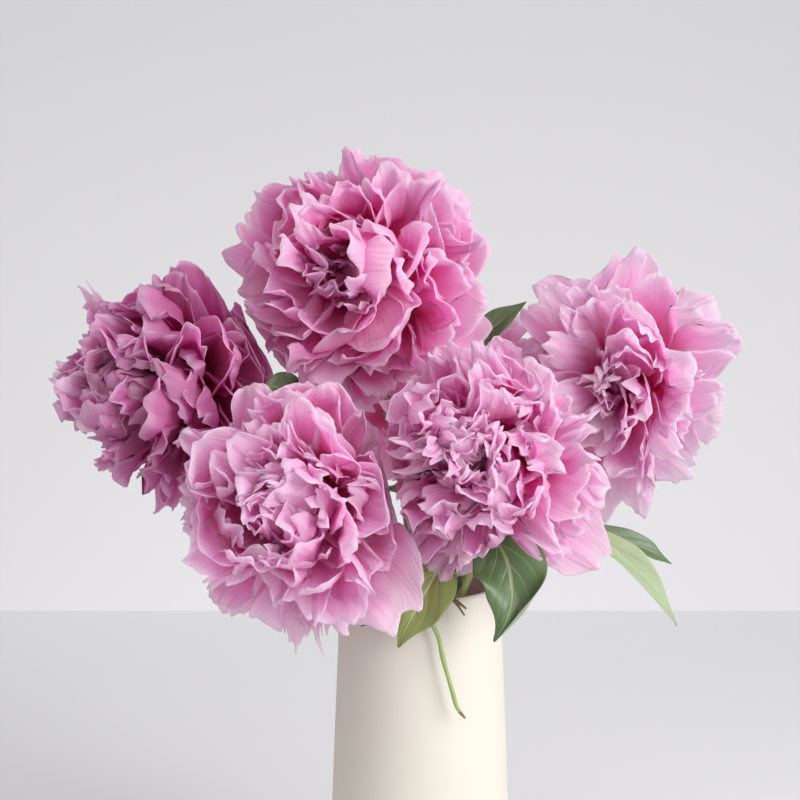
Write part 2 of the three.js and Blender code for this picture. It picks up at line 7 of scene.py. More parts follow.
import logging
from dataclasses import dataclass, field, fields
from enum import Enum
from typing import Callable, Sequence

import bpy
import numpy as np
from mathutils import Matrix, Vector


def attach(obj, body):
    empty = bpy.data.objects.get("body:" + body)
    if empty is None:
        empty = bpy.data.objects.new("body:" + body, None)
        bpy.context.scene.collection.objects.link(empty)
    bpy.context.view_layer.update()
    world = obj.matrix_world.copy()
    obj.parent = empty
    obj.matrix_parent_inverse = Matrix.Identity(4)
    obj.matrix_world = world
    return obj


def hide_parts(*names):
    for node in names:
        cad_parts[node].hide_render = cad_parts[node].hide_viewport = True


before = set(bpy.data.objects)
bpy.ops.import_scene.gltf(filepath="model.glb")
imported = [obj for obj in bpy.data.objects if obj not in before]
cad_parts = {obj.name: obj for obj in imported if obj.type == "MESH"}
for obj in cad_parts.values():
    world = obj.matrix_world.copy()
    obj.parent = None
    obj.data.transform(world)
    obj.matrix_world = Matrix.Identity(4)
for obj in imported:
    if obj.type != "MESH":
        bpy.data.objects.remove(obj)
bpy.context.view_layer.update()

Array = np.ndarray
Colour = tuple[float, float, float]
Point = tuple[float, float, float]
Place = tuple[float, float]

log = logging.getLogger("peonies")
TAU = 2 * np.pi
BODY = "root"

# What chance multiplies the seed, the item, the draw and then the sine by.
CHANCE_TURNS = (12.9898, 78.233, 37.719)
CHANCE_GAIN = 43758.5453
# How many sines a smooth field has, and each one's draws: a direction, a length and a phase.
FOLD_WAVES = 12
FOLD_DRAWS = np.arange(50, 55)
# Steps between two points of a spline, a blade's thickness at its rim and the rise of a rod's ends.
LINE_STEPS = 40
RIM_SHARE = 0.35
ROD_CROWN = 0.4


# ---- Chance and small helpers --------------------------------------------------------------------


def chance(seed: float, item: Array | float, draw: Array | int) -> Array:
    """Give one repeatable number from 0 to 1 for each item: the fraction left by a large sine.

    Args:
        seed: The bloom's or the field's own number.
        item: Numbers of the petals, or of one wave.
        draw: Which of an item's draws this is, or several of them.

    Returns:
        An array of the shape that item and draw give together.
    """
    by_seed, by_item, by_draw = CHANCE_TURNS
    wave = np.sin(seed * by_seed + item * by_item + draw * by_draw) * CHANCE_GAIN
    return wave - np.floor(wave)


def unit(vector: Array) -> Array:
    """Scale vectors along the last axis to length one."""
    return vector / np.maximum(np.linalg.norm(vector, axis=-1, keepdims=True), 1e-12)


def smooth_step(low: float, high: float, value: Array) -> Array:
    """Rise smoothly from 0 at low to 1 at high."""
    t = np.clip((value - low) / (high - low), 0, 1)
    return t * t * (3 - 2 * t)


def stood(values: Array) -> Array:
    """Stand one value for each petal against the grid of its points."""
    return values[:, None, None]


def wandered(points: Array, seed: float, wavelength: float, depth: float) -> Array:
    """Shift points by a smooth field, so that surfaces that lie together fold together.

    Along each axis the shift is depth times half the sum of four sine waves, whose directions, lengths
    and phases chance sets.

    Args:
        points: Points (..., 3).
        seed: The field's seed.
        wavelength: The waves' mean length in metres.
        depth: The shift's usual size in metres.

    Returns:
        The shifted points.
    """
    shift = np.zeros_like(points)
    for wave in range(FOLD_WAVES):
        draws = chance(seed, np.float64(wave), FOLD_DRAWS)
        direction = unit(draws[:3] - 0.5)
        turns = points @ direction / (wavelength * (0.7 + 0.6 * draws[3])) + draws[4]
        shift[..., wave % 3] += np.sin(TAU * turns)
    return points + 0.5 * depth * shift


def spline(points: Array, count: int) -> Array:
    """Carry a smooth line through points, evenly spaced along its length.

    Each stretch is the Catmull-Rom cubic of its two ends and their neighbours, and the dense line is
    then resampled by arc length.

    Args:
        points: The points to pass through, as (n, 3).
        count: How many points to give back.

    Returns:
        The line, as (count, 3).
    """
    padded = np.vstack([2 * points[0] - points[1], points, 2 * points[-1] - points[-2]])
    t = np.linspace(0, 1, LINE_STEPS, endpoint=False)[None, :, None]
    a, b, c, d = (padded[k : len(padded) - 3 + k][:, None, :] for k in range(4))
    dense = 0.5 * (2 * b + (c - a) * t + (2 * a - 5 * b + 4 * c - d) * t**2 + (3 * b - a - 3 * c + d) * t**3)
    dense = np.vstack([dense.reshape(-1, 3), points[-1:]])
    reach = np.concatenate([[0], np.cumsum(np.linalg.norm(np.diff(dense, axis=0), axis=1))])
    even = np.linspace(0, reach[-1], count)
    return np.stack([np.interp(even, reach, dense[:, k]) for k in range(3)], axis=1)


# ---- Meshes --------------------------------------------------------------------------------------


@dataclass
class MeshParts:
    """Vertices, quads and per-vertex values of several closed shells that make one piece."""

    points: list[Array] = field(default_factory=list)
    quads: list[Array] = field(default_factory=list)
    maps: list[Array] = field(default_factory=list)
    tones: list[Array] = field(default_factory=list)
    slots: list[Array] = field(default_factory=list)
    total: int = 0

    def add(self, points: Array, quads: Array, map_uv: Array, tone: Array, slot: int = 0) -> None:
        """Append one set of shells.

        Args:
            points: Vertices, as (n, 3).
            quads: Corners of each face, as (m, 4), counted from 0. A repeated corner makes a triangle.
            map_uv: The piece's own map at each vertex, as (n, 2).
            tone: One value at each vertex, as (n,).
            slot: Which of the piece's materials the faces take.
        """
        self.points.append(points)
        self.quads.append(quads + self.total)
        self.maps.append(map_uv)
        self.tones.append(tone)
        self.slots.append(np.full(len(quads), slot, np.int32))
        self.total += len(points)

    def build(self, name: str, materials: Sequence[bpy.types.Material]) -> bpy.types.Object:
        """Make the mesh object, at the origin, unturned.

        Args:
            name: The piece's name.
            materials: Its materials in slot order.

        Returns:
            The new object, linked to the scene.
        """
        points = np.concatenate(self.points)
        quads = np.concatenate(self.quads)
        map_uv = np.concatenate(self.maps)
        pointed = quads[:, 3] == quads[:, 0]
        sizes = np.where(pointed, 3, 4).astype(np.int32)
        kept = np.ones(quads.shape, bool)
        kept[pointed, 3] = False
        corners = quads[kept].astype(np.int32)
        mesh = bpy.data.meshes.new(name)
        mesh.vertices.add(len(points))
        mesh.vertices.foreach_set("co", points.astype(np.float32).ravel())
        mesh.loops.add(len(corners))
        mesh.loops.foreach_set("vertex_index", corners)
        mesh.polygons.add(len(quads))
        mesh.polygons.foreach_set("loop_start", np.concatenate([[0], np.cumsum(sizes)[:-1]]).astype(np.int32))
        mesh.polygons.foreach_set("material_index", np.concatenate(self.slots))
        mesh.update(calc_edges=True)
        mesh.polygons.foreach_set("use_smooth", np.ones(len(quads), bool))
        layer = mesh.uv_layers.new(name="grown")
        layer.data.foreach_set("uv", map_uv[corners].astype(np.float32).ravel())
        tone = mesh.attributes.new("tone", "FLOAT", "POINT")
        tone.data.foreach_set("value", np.concatenate(self.tones).astype(np.float32))
        piece = bpy.data.objects.new(name, mesh)
        bpy.context.scene.collection.objects.link(piece)
        for material in materials:
            mesh.materials.append(material)
        return piece


def blade_quads(rows: int, columns: int) -> Array:
    """List the faces of one thickened grid: its upper skin, its under skin and the rim between them.

    Args:
        rows: Points along the blade.
        columns: Points across it.

    Returns:
        Corner numbers, as (m, 4). The under skin's points follow the upper skin's.
    """
    number = np.arange(rows * columns).reshape(rows, columns)
    a, b, c, d = number[:-1, :-1], number[:-1, 1:], number[1:, 1:], number[1:, :-1]
    upper = np.stack([a, b, c, d], -1).reshape(-1, 4)
    under = np.stack([a, d, c, b], -1).reshape(-1, 4) + rows * columns
    rim = np.concatenate([number[0, :-1], number[:-1, -1], number[-1, :0:-1], number[:0:-1, 0]])
    after = np.roll(rim, -1)
    edge = np.stack([after, rim, rim + rows * columns, after + rows * columns], -1)
    return np.concatenate([upper, under, edge])


def add_blades(
    parts: MeshParts, sheet: Array, thickness: float, u: Array, v: Array, tone: Array, under: float = 0.0
) -> None:
    """Thicken a batch of grids into closed blades and add them.

    Each skin is the sheet moved along its normal by half the thickness, to either side. The blade thins
    to a third at its rim.

    Args:
        parts: Where the blades go.
        sheet: Middle surfaces, as (n, rows, columns, 3).
        thickness: Full thickness.
        u: Place across the blade, 0 to 1, same shape as the grids.
        v: Place along the blade, 0 to 1, same shape as the grids.
        tone: One value for each blade, as (n,).
        under: What the under skin's value has added to it.
    """
    count, rows, columns, _ = sheet.shape
    normal = unit(np.cross(np.gradient(sheet, axis=2), np.gradient(sheet, axis=1)))
    across = 1 - np.abs(np.linspace(-1, 1, columns)) ** 6
    along = 1 - np.linspace(0, 1, rows) ** 12
    body = RIM_SHARE + (1 - RIM_SHARE) * along[:, None] * across[None, :]
    half = 0.5 * thickness * body[None, :, :, None]
    skins = np.stack([sheet + half * normal, sheet - half * normal], axis=1)
    quads = blade_quads(rows, columns)
    size = 2 * rows * columns
    every = (quads[None] + (np.arange(count) * size)[:, None, None]).reshape(-1, 4)
    grown = np.stack([np.broadcast_to(u, sheet.shape[:3]), np.broadcast_to(v, sheet.shape[:3])], -1)
    grown = np.repeat(grown[:, None], 2, axis=1).reshape(-1, 2)
    both = np.stack([tone, tone + under], -1)
    parts.add(skins.reshape(-1, 3), every, grown, np.repeat(both.ravel(), rows * columns))


def add_rings(parts: MeshParts, skin: Array, poles: Array, tone: float, slot: int = 0) -> None:
    """Join rings of points into a closed skin, with a fan to a pole at either end.

    Args:
        parts: Where the skin goes.
        skin: Points, as (rings, segments, 3), from the first pole to the second.
        poles: The two end points, as (2, 3).
        tone: The value given to every vertex.
        slot: Which of the piece's materials it takes.
    """
    count, segments = skin.shape[:2]
    number = np.arange(count * segments).reshape(count, segments)
    after = np.roll(number, -1, axis=1)
    walls = np.stack([number[:-1], after[:-1], after[1:], number[1:]], -1).reshape(-1, 4)
    low, high = number.size, number.size + 1
    foot = np.stack([after[0], number[0], np.full(segments, low), after[0]], -1)
    head = np.stack([number[-1], after[-1], np.full(segments, high), number[-1]], -1)
    around = np.tile(np.arange(segments) / segments, count)
    reach = np.repeat(np.linspace(0, 1, count), segments)
    map_uv = np.concatenate([np.stack([around, reach], -1), [[0.5, 0.0], [0.5, 1.0]]])
    points = np.concatenate([skin.reshape(-1, 3), poles])
    parts.add(points, np.concatenate([walls, foot, head]), map_uv, np.full(len(points), tone), slot)


def add_rod(
    parts: MeshParts, line: Array, radius: Array, sides: int = 14, tone: float = 0.5, slot: int = 0
) -> None:
    """Carry a circle of changing radius along a line, with closed round ends.

    The circle's frame is turned as little as it can be from one point to the next.

    Args:
        parts: Where the rod goes.
        line: Centre line, as (n, 3).
        radius: Radius at each of its points, as (n,).
        sides: Points round the circle.
        tone: The value given to every vertex.
        slot: Which of the piece's materials it takes.
    """
    along = unit(np.gradient(line, axis=0))
    side = np.zeros_like(line)
    guess = np.array([1.0, 0.0, 0.0]) if abs(along[0, 0]) < 0.8 else np.array([0.0, 1.0, 0.0])
    for k in range(len(line)):
        guess = unit(guess - guess @ along[k] * along[k])
        side[k] = guess
    up = np.cross(along, side)
    turn = np.arange(sides) / sides * TAU
    ring = np.cos(turn)[None, :, None] * side[:, None] + np.sin(turn)[None, :, None] * up[:, None]
    skin = line[:, None] + radius[:, None, None] * ring
    foot = line[0] - along[0] * radius[0] * ROD_CROWN
    head = line[-1] + along[-1] * radius[-1] * ROD_CROWN
    add_rings(parts, skin, np.stack([foot, head]), tone, slot)


def add_turned(
    parts: MeshParts, outline: Array, segments: int, place: Callable[[Array], Array], tone: float
) -> None:
    """Turn an outline of radius and height round an axis. It starts and ends on the axis.

    Args:
        parts: Where the turned body goes.
        outline: (n, 2) of radius and height, from the lower pole to the upper one, outside first.
        segments: Points round the axis.
        place: Moves points of the body's own frame to where it stands.
        tone: The value given to every vertex.
    """
    rings = outline[1:-1]
    turn = np.arange(segments) / segments * TAU
    around = np.stack([np.cos(turn), np.sin(turn)], -1)
    flat = rings[:, None, :1] * around[None]
    tall = np.broadcast_to(rings[:, None, 1:], flat.shape[:2] + (1,))
    poles = np.array([[0, 0, outline[0, 1]], [0, 0, outline[-1, 1]]])
    add_rings(parts, place(np.concatenate([flat, tall], -1)), place(poles), tone)


# ---- Shader groups -------------------------------------------------------------------------------


# The Mix node's sockets for colours, which share their names with its other sockets.
MIX_SHARE, MIX_FIRST, MIX_SECOND, MIX_RESULT = 0, 6, 7, 2
Socket = bpy.types.NodeSocket


@dataclass
class NodeCanvas:
    """A node tree with short calls for adding and linking nodes."""

    tree: bpy.types.NodeTree

    @classmethod
    def material(cls, name: str) -> tuple[bpy.types.Material, "NodeCanvas"]:
        """Start a material with an empty tree."""
        made = bpy.data.materials.new(name)
        made.use_nodes = True
        made.node_tree.nodes.clear()
        return made, cls(made.node_tree)

    def feed(self, socket: Socket, value: object) -> None:
        """Link an output to a socket, or give the socket a plain value."""
        if isinstance(value, bpy.types.NodeSocket):
            self.tree.links.new(value, socket)
        else:
            socket.default_value = value

    def node(self, kind: str, inputs: dict | None = None, **settings: object) -> bpy.types.Node:
        """Add a node.

        Args:
            kind: Its Blender type name without the leading ShaderNode.
            inputs: Values or output sockets for its inputs, by name or number.
            settings: Its other properties.

        Returns:
            The node.
        """
        made = self.tree.nodes.new("ShaderNode" + kind)
        for key, value in settings.items():
            setattr(made, key, value)
        for key, value in (inputs or {}).items():
            self.feed(made.inputs[key], value)
        return made

    def effect(self, group: bpy.types.NodeTree, inputs: dict[str, object]) -> bpy.types.NodeOutputs:
        """Place a shared node group with its own values and give its outputs."""
        made = self.tree.nodes.new("ShaderNodeGroup")
        made.node_tree = group
        for label, value in inputs.items():
            self.feed(made.inputs[label], value)
        return made.outputs

    def math(self, operation: str, *values: object) -> Socket:
        """Add a Math node and give its output."""
        return self.node("Math", dict(enumerate(values)), operation=operation).outputs[0]

    def remap(self, value: Socket, low: float, high: float, to_low: float, to_high: float) -> Socket:
        """Carry a value from one range to another, held within it."""
        return self.node("MapRange", dict(enumerate((value, low, high, to_low, to_high)))).outputs[0]

    def mix(self, share: object, first: object, second: object, blend: str = "MIX") -> Socket:
        """Mix two colours and give the result."""
        inputs = {MIX_SHARE: share, MIX_FIRST: first, MIX_SECOND: second}
        return self.node("Mix", inputs, data_type="RGBA", blend_type=blend).outputs[MIX_RESULT]

    def ramp(self, value: Socket, stops: Sequence[tuple[float, Colour]]) -> Socket:
        """Look a value up in a ramp of colours."""
        made = self.node("ValToRGB", {0: value})
        elements = made.color_ramp.elements
        while len(elements) < len(stops):
            elements.new(0.5)
        for element, (position, colour) in zip(elements, stops):
            element.position = position
            element.color = (*colour, 1)
        return made.outputs[0]

    def tone(self) -> Socket:
        """Read the value that the mesh gives each vertex."""
        return self.node("Attribute", None, attribute_name="tone").outputs["Fac"]

    def grown(self) -> tuple[Socket, Socket]:
        """Read the places across and along the piece's own map."""
        where = self.node("UVMap", None, uv_map="grown").outputs[0]
        apart = self.node("SeparateXYZ", {0: where})
        return apart.outputs[0], apart.outputs[1]

    def aside(self, across: Socket) -> Socket:
        """Turn a place across the map into its distance from the midrib, 0 to 1."""
        return self.math("ABSOLUTE", self.math("MULTIPLY_ADD", across, 2.0, -1.0))

    def bumps(self, height: Socket, strength: float, distance: float) -> Socket:
        """Make a normal from a height."""
        inputs = {"Height": height, "Strength": strength, "Distance": distance}
        return self.node("Bump", inputs).outputs[0]

    def thin(self, colour: Socket, roughness: float, specular: float, normal: Socket, glow: float) -> None:
        """Finish as a thin sheet: a surface mixed with light that passes through by the share glow."""
        looks = {"Base Color": colour, "Roughness": roughness, "Specular IOR Level": specular}
        looks["Normal"] = normal
        solid = self.node("BsdfPrincipled", looks)
        through = self.node("BsdfTranslucent", {"Color": colour, "Normal": normal})
        self.finish(self.node("MixShader", {0: glow, 1: solid.outputs[0], 2: through.outputs[0]}))

    def finish(self, shader: bpy.types.Node) -> None:
        """Lead a shader to the material's surface."""
        self.node("OutputMaterial", {0: shader.outputs[0]})


class SharedEffects:
    """Node groups that more than one finish uses, each built once."""

    def __init__(self) -> None:
        """Build every group."""
        self.mottle = self._mottle()
        self.fibres = self._fibres()

    @staticmethod
    def _group(name: str, takes: dict[str, tuple[str, object]], gives: dict[str, str]) -> NodeCanvas:
        """Start a group with named inputs and outputs."""
        tree = bpy.data.node_groups.new(name, "ShaderNodeTree")
        for label, (kind, value) in takes.items():
            socket = tree.interface.new_socket(label, in_out="INPUT", socket_type=kind)
            if value is not None:
                socket.default_value = value
        for label, kind in gives.items():
            tree.interface.new_socket(label, in_out="OUTPUT", socket_type=kind)
        return NodeCanvas(tree)

    def _mottle(self) -> bpy.types.NodeTree:
        """Cloudy change of tone over a surface, with a fine grain: two noises on Object coordinates."""
        canvas = self._group(
            "mottle",
            {
                "Colour": ("NodeSocketColor", (0.5, 0.5, 0.5, 1)),
                "Shade": ("NodeSocketColor", (0.4, 0.4, 0.4, 1)),
                "Cloud Scale": ("NodeSocketFloat", 20.0),
                "Grain Scale": ("NodeSocketFloat", 900.0),
                "Cloud": ("NodeSocketFloat", 0.5),
                "Grain": ("NodeSocketFloat", 0.2),
            },
            {"Colour": "NodeSocketColor", "Height": "NodeSocketFloat"},
        )
        given = canvas.tree.nodes.new("NodeGroupInput").outputs
        where = canvas.node("TexCoord").outputs["Object"]
        cloud = canvas.node("TexNoise", {"Vector": where, "Scale": given["Cloud Scale"], "Detail": 4.0})
        grain = canvas.node("TexNoise", {"Vector": where, "Scale": given["Grain Scale"], "Detail": 2.0})
        soft = canvas.math("MULTIPLY", cloud.outputs["Fac"], given["Cloud"])
        fine = canvas.math("MULTIPLY", grain.outputs["Fac"], given["Grain"])
        share = canvas.math("ADD", soft, fine)
        colour = canvas.mix(share, given["Colour"], given["Shade"])
        out = canvas.tree.nodes.new("NodeGroupOutput")
        canvas.tree.links.new(colour, out.inputs["Colour"])
        canvas.tree.links.new(grain.outputs["Fac"], out.inputs["Height"])
        return canvas.tree

    def _fibres(self) -> bpy.types.NodeTree:
        """Fine streaks that run along a petal, blade or stem: a noise stretched along the map's V."""
        canvas = self._group(
            "fibres",
            {
                "Across": ("NodeSocketFloat", 34.0),
                "Along": ("NodeSocketFloat", 1.6),
                "Offset": ("NodeSocketFloat", 0.0),
            },
            {"Streak": "NodeSocketFloat"},
        )
        given = canvas.tree.nodes.new("NodeGroupInput").outputs
        across, along = canvas.grown()
        across = canvas.math("MULTIPLY", across, given["Across"])
        along = canvas.math("MULTIPLY", along, given["Along"])
        where = canvas.node("CombineXYZ", {0: across, 1: along, 2: given["Offset"]}).outputs[0]
        looks = {"Vector": where, "Scale": 1.0, "Detail": 3.0, "Roughness": 0.6}
        noise = canvas.node("TexNoise", looks)
        out = canvas.tree.nodes.new("NodeGroupOutput")
        canvas.tree.links.new(noise.outputs["Fac"], out.inputs["Streak"])
        return canvas.tree


# ---- Finishes ------------------------------------------------------------------------------------


# The specular level of an ordinary surface.
PLAIN_SPECULAR = 0.5


@dataclass(frozen=True)
class PetalFinish:
    """A soft petal: deep magenta at its root, pink over its blade and almost white along its margin.

    stops are the places of the four colours from root to rim. Streaks pull the colours by pull and darken
    as veins where they are between the values of veining. The paling pair is the slope and start of how
    fast tone pales a petal towards the pale colour: the petal's own paleness from its own tone, and painted
    light from the bloom's painted lighting. Below the first painted shade tone, tone darkens the petal
    towards the painted shade colour instead: painted shade, most on the blooms away from the lamp and a
    little wherever else tone is low, as on the cores. The pale colour along the margin is partly the
    petal's own and partly painted light, for light that shines through the thin edge.
    """

    name: str = "petal"
    root: Colour = (0.987, 0.04, 0.38)
    throat: Colour = (0.987, 0.19, 0.63)
    blade: Colour = (0.987, 0.48, 0.81)
    rim: Colour = (0.987, 0.77, 0.93)
    stops: tuple[float, ...] = (0.0, 0.40, 0.70, 0.95)
    # The pale colour: the petals' own paleness, and painted light on the blooms towards the lamp.
    pale_and_lit: Colour = (0.987, 0.87, 0.965)
    paling_and_lighting: tuple[float, float] = (0.32, 0.10)
    # Painted shade: the colour that darkens the petals of the blooms away from the lamp.
    painted_shade: Colour = (0.75, 0.37, 0.62)
    painted_shade_tones: tuple[float, float] = (0.3, -0.9)
    painted_shade_share: float = 0.8
    offset: float = 57.0
    pull: float = 0.42
    veining: tuple[float, float] = (0.54, 0.74)
    vein_share: float = 0.45
    margin: float = 0.92
    margin_share: float = 0.5
    margin_power: float = 1.5
    glow: float = 0.74
    roughness: float = 0.6
    specular: float = 0.22
    strength: float = 0.5
    relief: float = 0.0024

    def material(self, effects: SharedEffects) -> bpy.types.Material:
        """Build the material.

        The colour follows the petal from root to rim, shifts with each petal's tone, is streaked along
        its fibres and pales along the margin. The tone carries the bloom's painted light and painted shade,
        and the pale margin is partly painted light. Part of the light passes through.

        Args:
            effects: The shared node groups.

        Returns:
            The material.
        """
        made, canvas = NodeCanvas.material(self.name)
        tone = canvas.tone()
        across, along = canvas.grown()
        offset = canvas.math("MULTIPLY", tone, self.offset)
        streak = canvas.effect(effects.fibres, {"Offset": offset})["Streak"]
        shifted = canvas.math("ADD", along, canvas.math("MULTIPLY_ADD", streak, self.pull, -self.pull / 2))
        body = canvas.ramp(shifted, list(zip(self.stops, (self.root, self.throat, self.blade, self.rim))))
        # Painted shade: a low tone darkens the petal, most of all in the blooms away from the lamp.
        shade = canvas.remap(tone, *self.painted_shade_tones, 0.0, self.painted_shade_share)
        body = canvas.mix(shade, body, (*self.painted_shade, 1), "MULTIPLY")
        # A high tone pales the petal: its own paleness from its own tone, painted light from the bloom's
        # painted lighting.
        paled_and_lit = canvas.math("MULTIPLY", tone, canvas.math("MULTIPLY_ADD", along, *self.paling_and_lighting))
        pale = canvas.mix(paled_and_lit, body, (*self.pale_and_lit, 1))
        veins = canvas.remap(streak, *self.veining, 0.0, self.vein_share)
        veined = canvas.mix(veins, pale, (*self.throat, 1), "MULTIPLY")
        # The pale margin: partly the petal's own colour, partly painted light for light shining through the
        # thin edge.
        edge = canvas.math("MAXIMUM", canvas.aside(across), along)
        margin = canvas.remap(edge, self.margin, 1.0, 0.0, self.margin_share)
        margin = canvas.math("MULTIPLY", margin, canvas.math("POWER", along, self.margin_power))
        colour = canvas.mix(margin, veined, (*self.pale_and_lit, 1))
        normal = canvas.bumps(streak, self.strength, self.relief)
        canvas.thin(colour, self.roughness, self.specular, normal, self.glow)
        return made


@dataclass(frozen=True)
class LeafFinish:
    """A peony leaf: satin above, with a pale midrib and side veins, and paler below."""

    name: str
    upper: Colour
    shade: Colour
    vein: Colour
    lower: Colour = (0.27, 0.34, 0.22)
    glow: float = 0.14
    roughness: float = 0.42
    midrib: tuple[float, float] = (0.02, 0.07)
    side_vein: tuple[float, float] = (0.03, 0.09)
    side_share: float = 0.55
    vein_share: float = 0.7
    cloud_scale: float = 60.0
    cloud: float = 1.1
    grain_height: float = 0.2
    strength: float = 0.6
    relief: float = 0.0006

    def material(self, effects: SharedEffects) -> bpy.types.Material:
        """Build the material.

        The veins are narrow bands of the map: one along the middle, and a row that leaves it at a slant
        on either side. Each fades between the two distances given for it.

        Args:
            effects: The shared node groups.

        Returns:
            The material.
        """
        made, canvas = NodeCanvas.material(self.name)
        across, along = canvas.grown()
        side = canvas.aside(across)
        middle = canvas.remap(side, *self.midrib, 1.0, 0.0)
        slant = canvas.math("MULTIPLY_ADD", side, -VEIN_SLANT, along)
        comb = canvas.math("FRACT", canvas.math("MULTIPLY", slant, VEINS))
        tooth = canvas.math("ABSOLUTE", canvas.math("SUBTRACT", comb, 0.5))
        sides = canvas.remap(tooth, *self.side_vein, self.side_share, 0.0)
        fading = canvas.math("MULTIPLY", sides, canvas.math("SUBTRACT", 1.0, side))
        veins = canvas.math("MAXIMUM", middle, fading)
        clouds = {"Colour": (*self.upper, 1), "Shade": (*self.shade, 1)}
        clouds |= {"Cloud Scale": self.cloud_scale, "Cloud": self.cloud}
        mottle = canvas.effect(effects.mottle, clouds)
        skin = canvas.mix(canvas.tone(), mottle["Colour"], (*self.lower, 1))
        colour = canvas.mix(canvas.math("MULTIPLY", veins, self.vein_share), skin, (*self.vein, 1))
        height = canvas.math("SUBTRACT", canvas.math("MULTIPLY", mottle["Height"], self.grain_height), veins)
        normal = canvas.bumps(height, self.strength, self.relief)
        canvas.thin(colour, self.roughness, PLAIN_SPECULAR, normal, self.glow)
        return made


@dataclass(frozen=True)
class PlainFinish:
    """An opaque finish with clouds of shade and a fine grain: stoneware, stems and the torn ends."""

    name: str
    colour: Colour
    shade: Colour
    roughness: float
    cloud_scale: float
    grain_scale: float
    cloud: float
    grain: float
    relief: float
    strength: float = 0.4

    def material(self, effects: SharedEffects) -> bpy.types.Material:
        """Build the material from the mottle group."""
        made, canvas = NodeCanvas.material(self.name)
        clouds = {"Colour": (*self.colour, 1), "Shade": (*self.shade, 1)}
        clouds |= {"Cloud Scale": self.cloud_scale, "Grain Scale": self.grain_scale}
        clouds |= {"Cloud": self.cloud, "Grain": self.grain}
        mottle = canvas.effect(effects.mottle, clouds)
        normal = canvas.bumps(mottle["Height"], self.strength, self.relief)
        looks = {"Base Color": mottle["Colour"], "Roughness": self.roughness, "Normal": normal}
        canvas.finish(canvas.node("BsdfPrincipled", looks))
        return made


@dataclass(frozen=True)
class WaterFinish:
    """Clear still water."""

    name: str = "water"
    colour: Colour = (0.93, 0.97, 0.97)
    roughness: float = 0.02
    refraction: float = 1.33

    def material(self, effects: SharedEffects) -> bpy.types.Material:
        """Build the material. It needs none of the shared groups."""
        made, canvas = NodeCanvas.material(self.name)
        looks = {"Base Color": (*self.colour, 1), "Roughness": self.roughness}
        looks |= {"IOR": self.refraction, "Transmission Weight": 1.0}
        canvas.finish(canvas.node("BsdfPrincipled", looks))
        return made


FINISHES = (
    PetalFinish(),
    LeafFinish("leaf_dark", upper=(0.045, 0.098, 0.026), shade=(0.085, 0.15, 0.055), vein=(0.30, 0.38, 0.17)),
    LeafFinish(
        "leaf_light", upper=(0.33, 0.41, 0.10), shade=(0.22, 0.29, 0.07), vein=(0.60, 0.66, 0.34),
        glow=0.3, roughness=0.5,
    ),
    LeafFinish(
        "leaf_sage", upper=(0.27, 0.36, 0.18), shade=(0.35, 0.43, 0.25), vein=(0.45, 0.53, 0.34),
        glow=0.2, roughness=0.6,
    ),
    PlainFinish(
        "stem", colour=(0.30, 0.40, 0.13), shade=(0.20, 0.27, 0.08), roughness=0.45,
        cloud_scale=90, grain_scale=900, cloud=0.8, grain=0.3, relief=0.0002,
    ),
    PlainFinish(
        "stalk_brown", colour=(0.30, 0.19, 0.08), shade=(0.12, 0.07, 0.03), roughness=0.7,
        cloud_scale=300, grain_scale=1500, cloud=0.9, grain=0.4, relief=0.0003,
    ),
    PlainFinish(
        "stoneware", colour=(0.63, 0.593, 0.525), shade=(0.579, 0.542, 0.467), roughness=0.82,
        cloud_scale=14, grain_scale=1400, cloud=0.45, grain=0.35, relief=0.00012,
    ),
    WaterFinish(),
)
Palette = dict[str, bpy.types.Material]


def mixed_palette() -> Palette:
    """Build every finish of the bouquet once, by name."""
    effects = SharedEffects()
    return {finish.name: finish.material(effects) for finish in FINISHES}


# ---- Petals --------------------------------------------------------------------------------------


GOLDEN_TURN = np.pi * (3 - 5**0.5)
Stations = tuple[float, ...]


@dataclass(frozen=True)
class Spiral:
    """A spiral of petals, each a golden turn on from the last, from the outermost to the innermost.

    Each tuple holds values at even steps from the first petal to the last. Angles are in degrees from
    the bloom's axis: launch where a petal leaves the base, tip where it ends, curl the extra turn of its
    last part and flare how far chance adds to the curl. Lengths are shares of the bloom's radius. grid
    is how many points a petal has along and across it.
    """

    count: int
    launch: Stations
    tip: Stations
    length: Stations
    half: Stations
    cup: Stations = (0.45, 0.8, 0.95, 1.0, 1.0, 1.0)
    curl: Stations = (2.0, 0.0, -4.0, -8.0, -12.0, -12.0)
    flare: Stations = (10.0, 24.0, 30.0, 34.0, 34.0, 30.0)
    ruffle: Stations = (0.020, 0.035, 0.042, 0.042, 0.040, 0.034)
    cleft: Stations = (0.05, 0.07, 0.08, 0.08, 0.08, 0.08)
    base: Stations = (0.10, 0.11, 0.11, 0.10, 0.08, 0.04)
    rise: Stations = (0.0, 0.03, 0.06, 0.09, 0.12, 0.14)
    twist: float = 14.0
    warp: float = 14.0
    tone: float = 0.5
    fan: float = 0.8
    grid: tuple[int, int] = (12, 25)


@dataclass(frozen=True)
class ShowPetal:
    """One petal that stands out in its bloom, with every property given.

    Angles are in degrees: around is counted from the bloom's right towards its top. Lengths are shares
    of the bloom's radius.
    """

    around: float
    launch: float
    tip: float
    length: float
    half: float
    cup: float = 0.8
    curl: float = 0.0
    ruffle: float = 0.02
    cleft: float = 0.05
    twist: float = 0.0
    warp: float = 0.0
    sway: float = 0.0
    roll: float = 0.1
    fan: float = 0.76
    tone: float = 0.7
    base: float = 0.10
    rise: float = 0.08


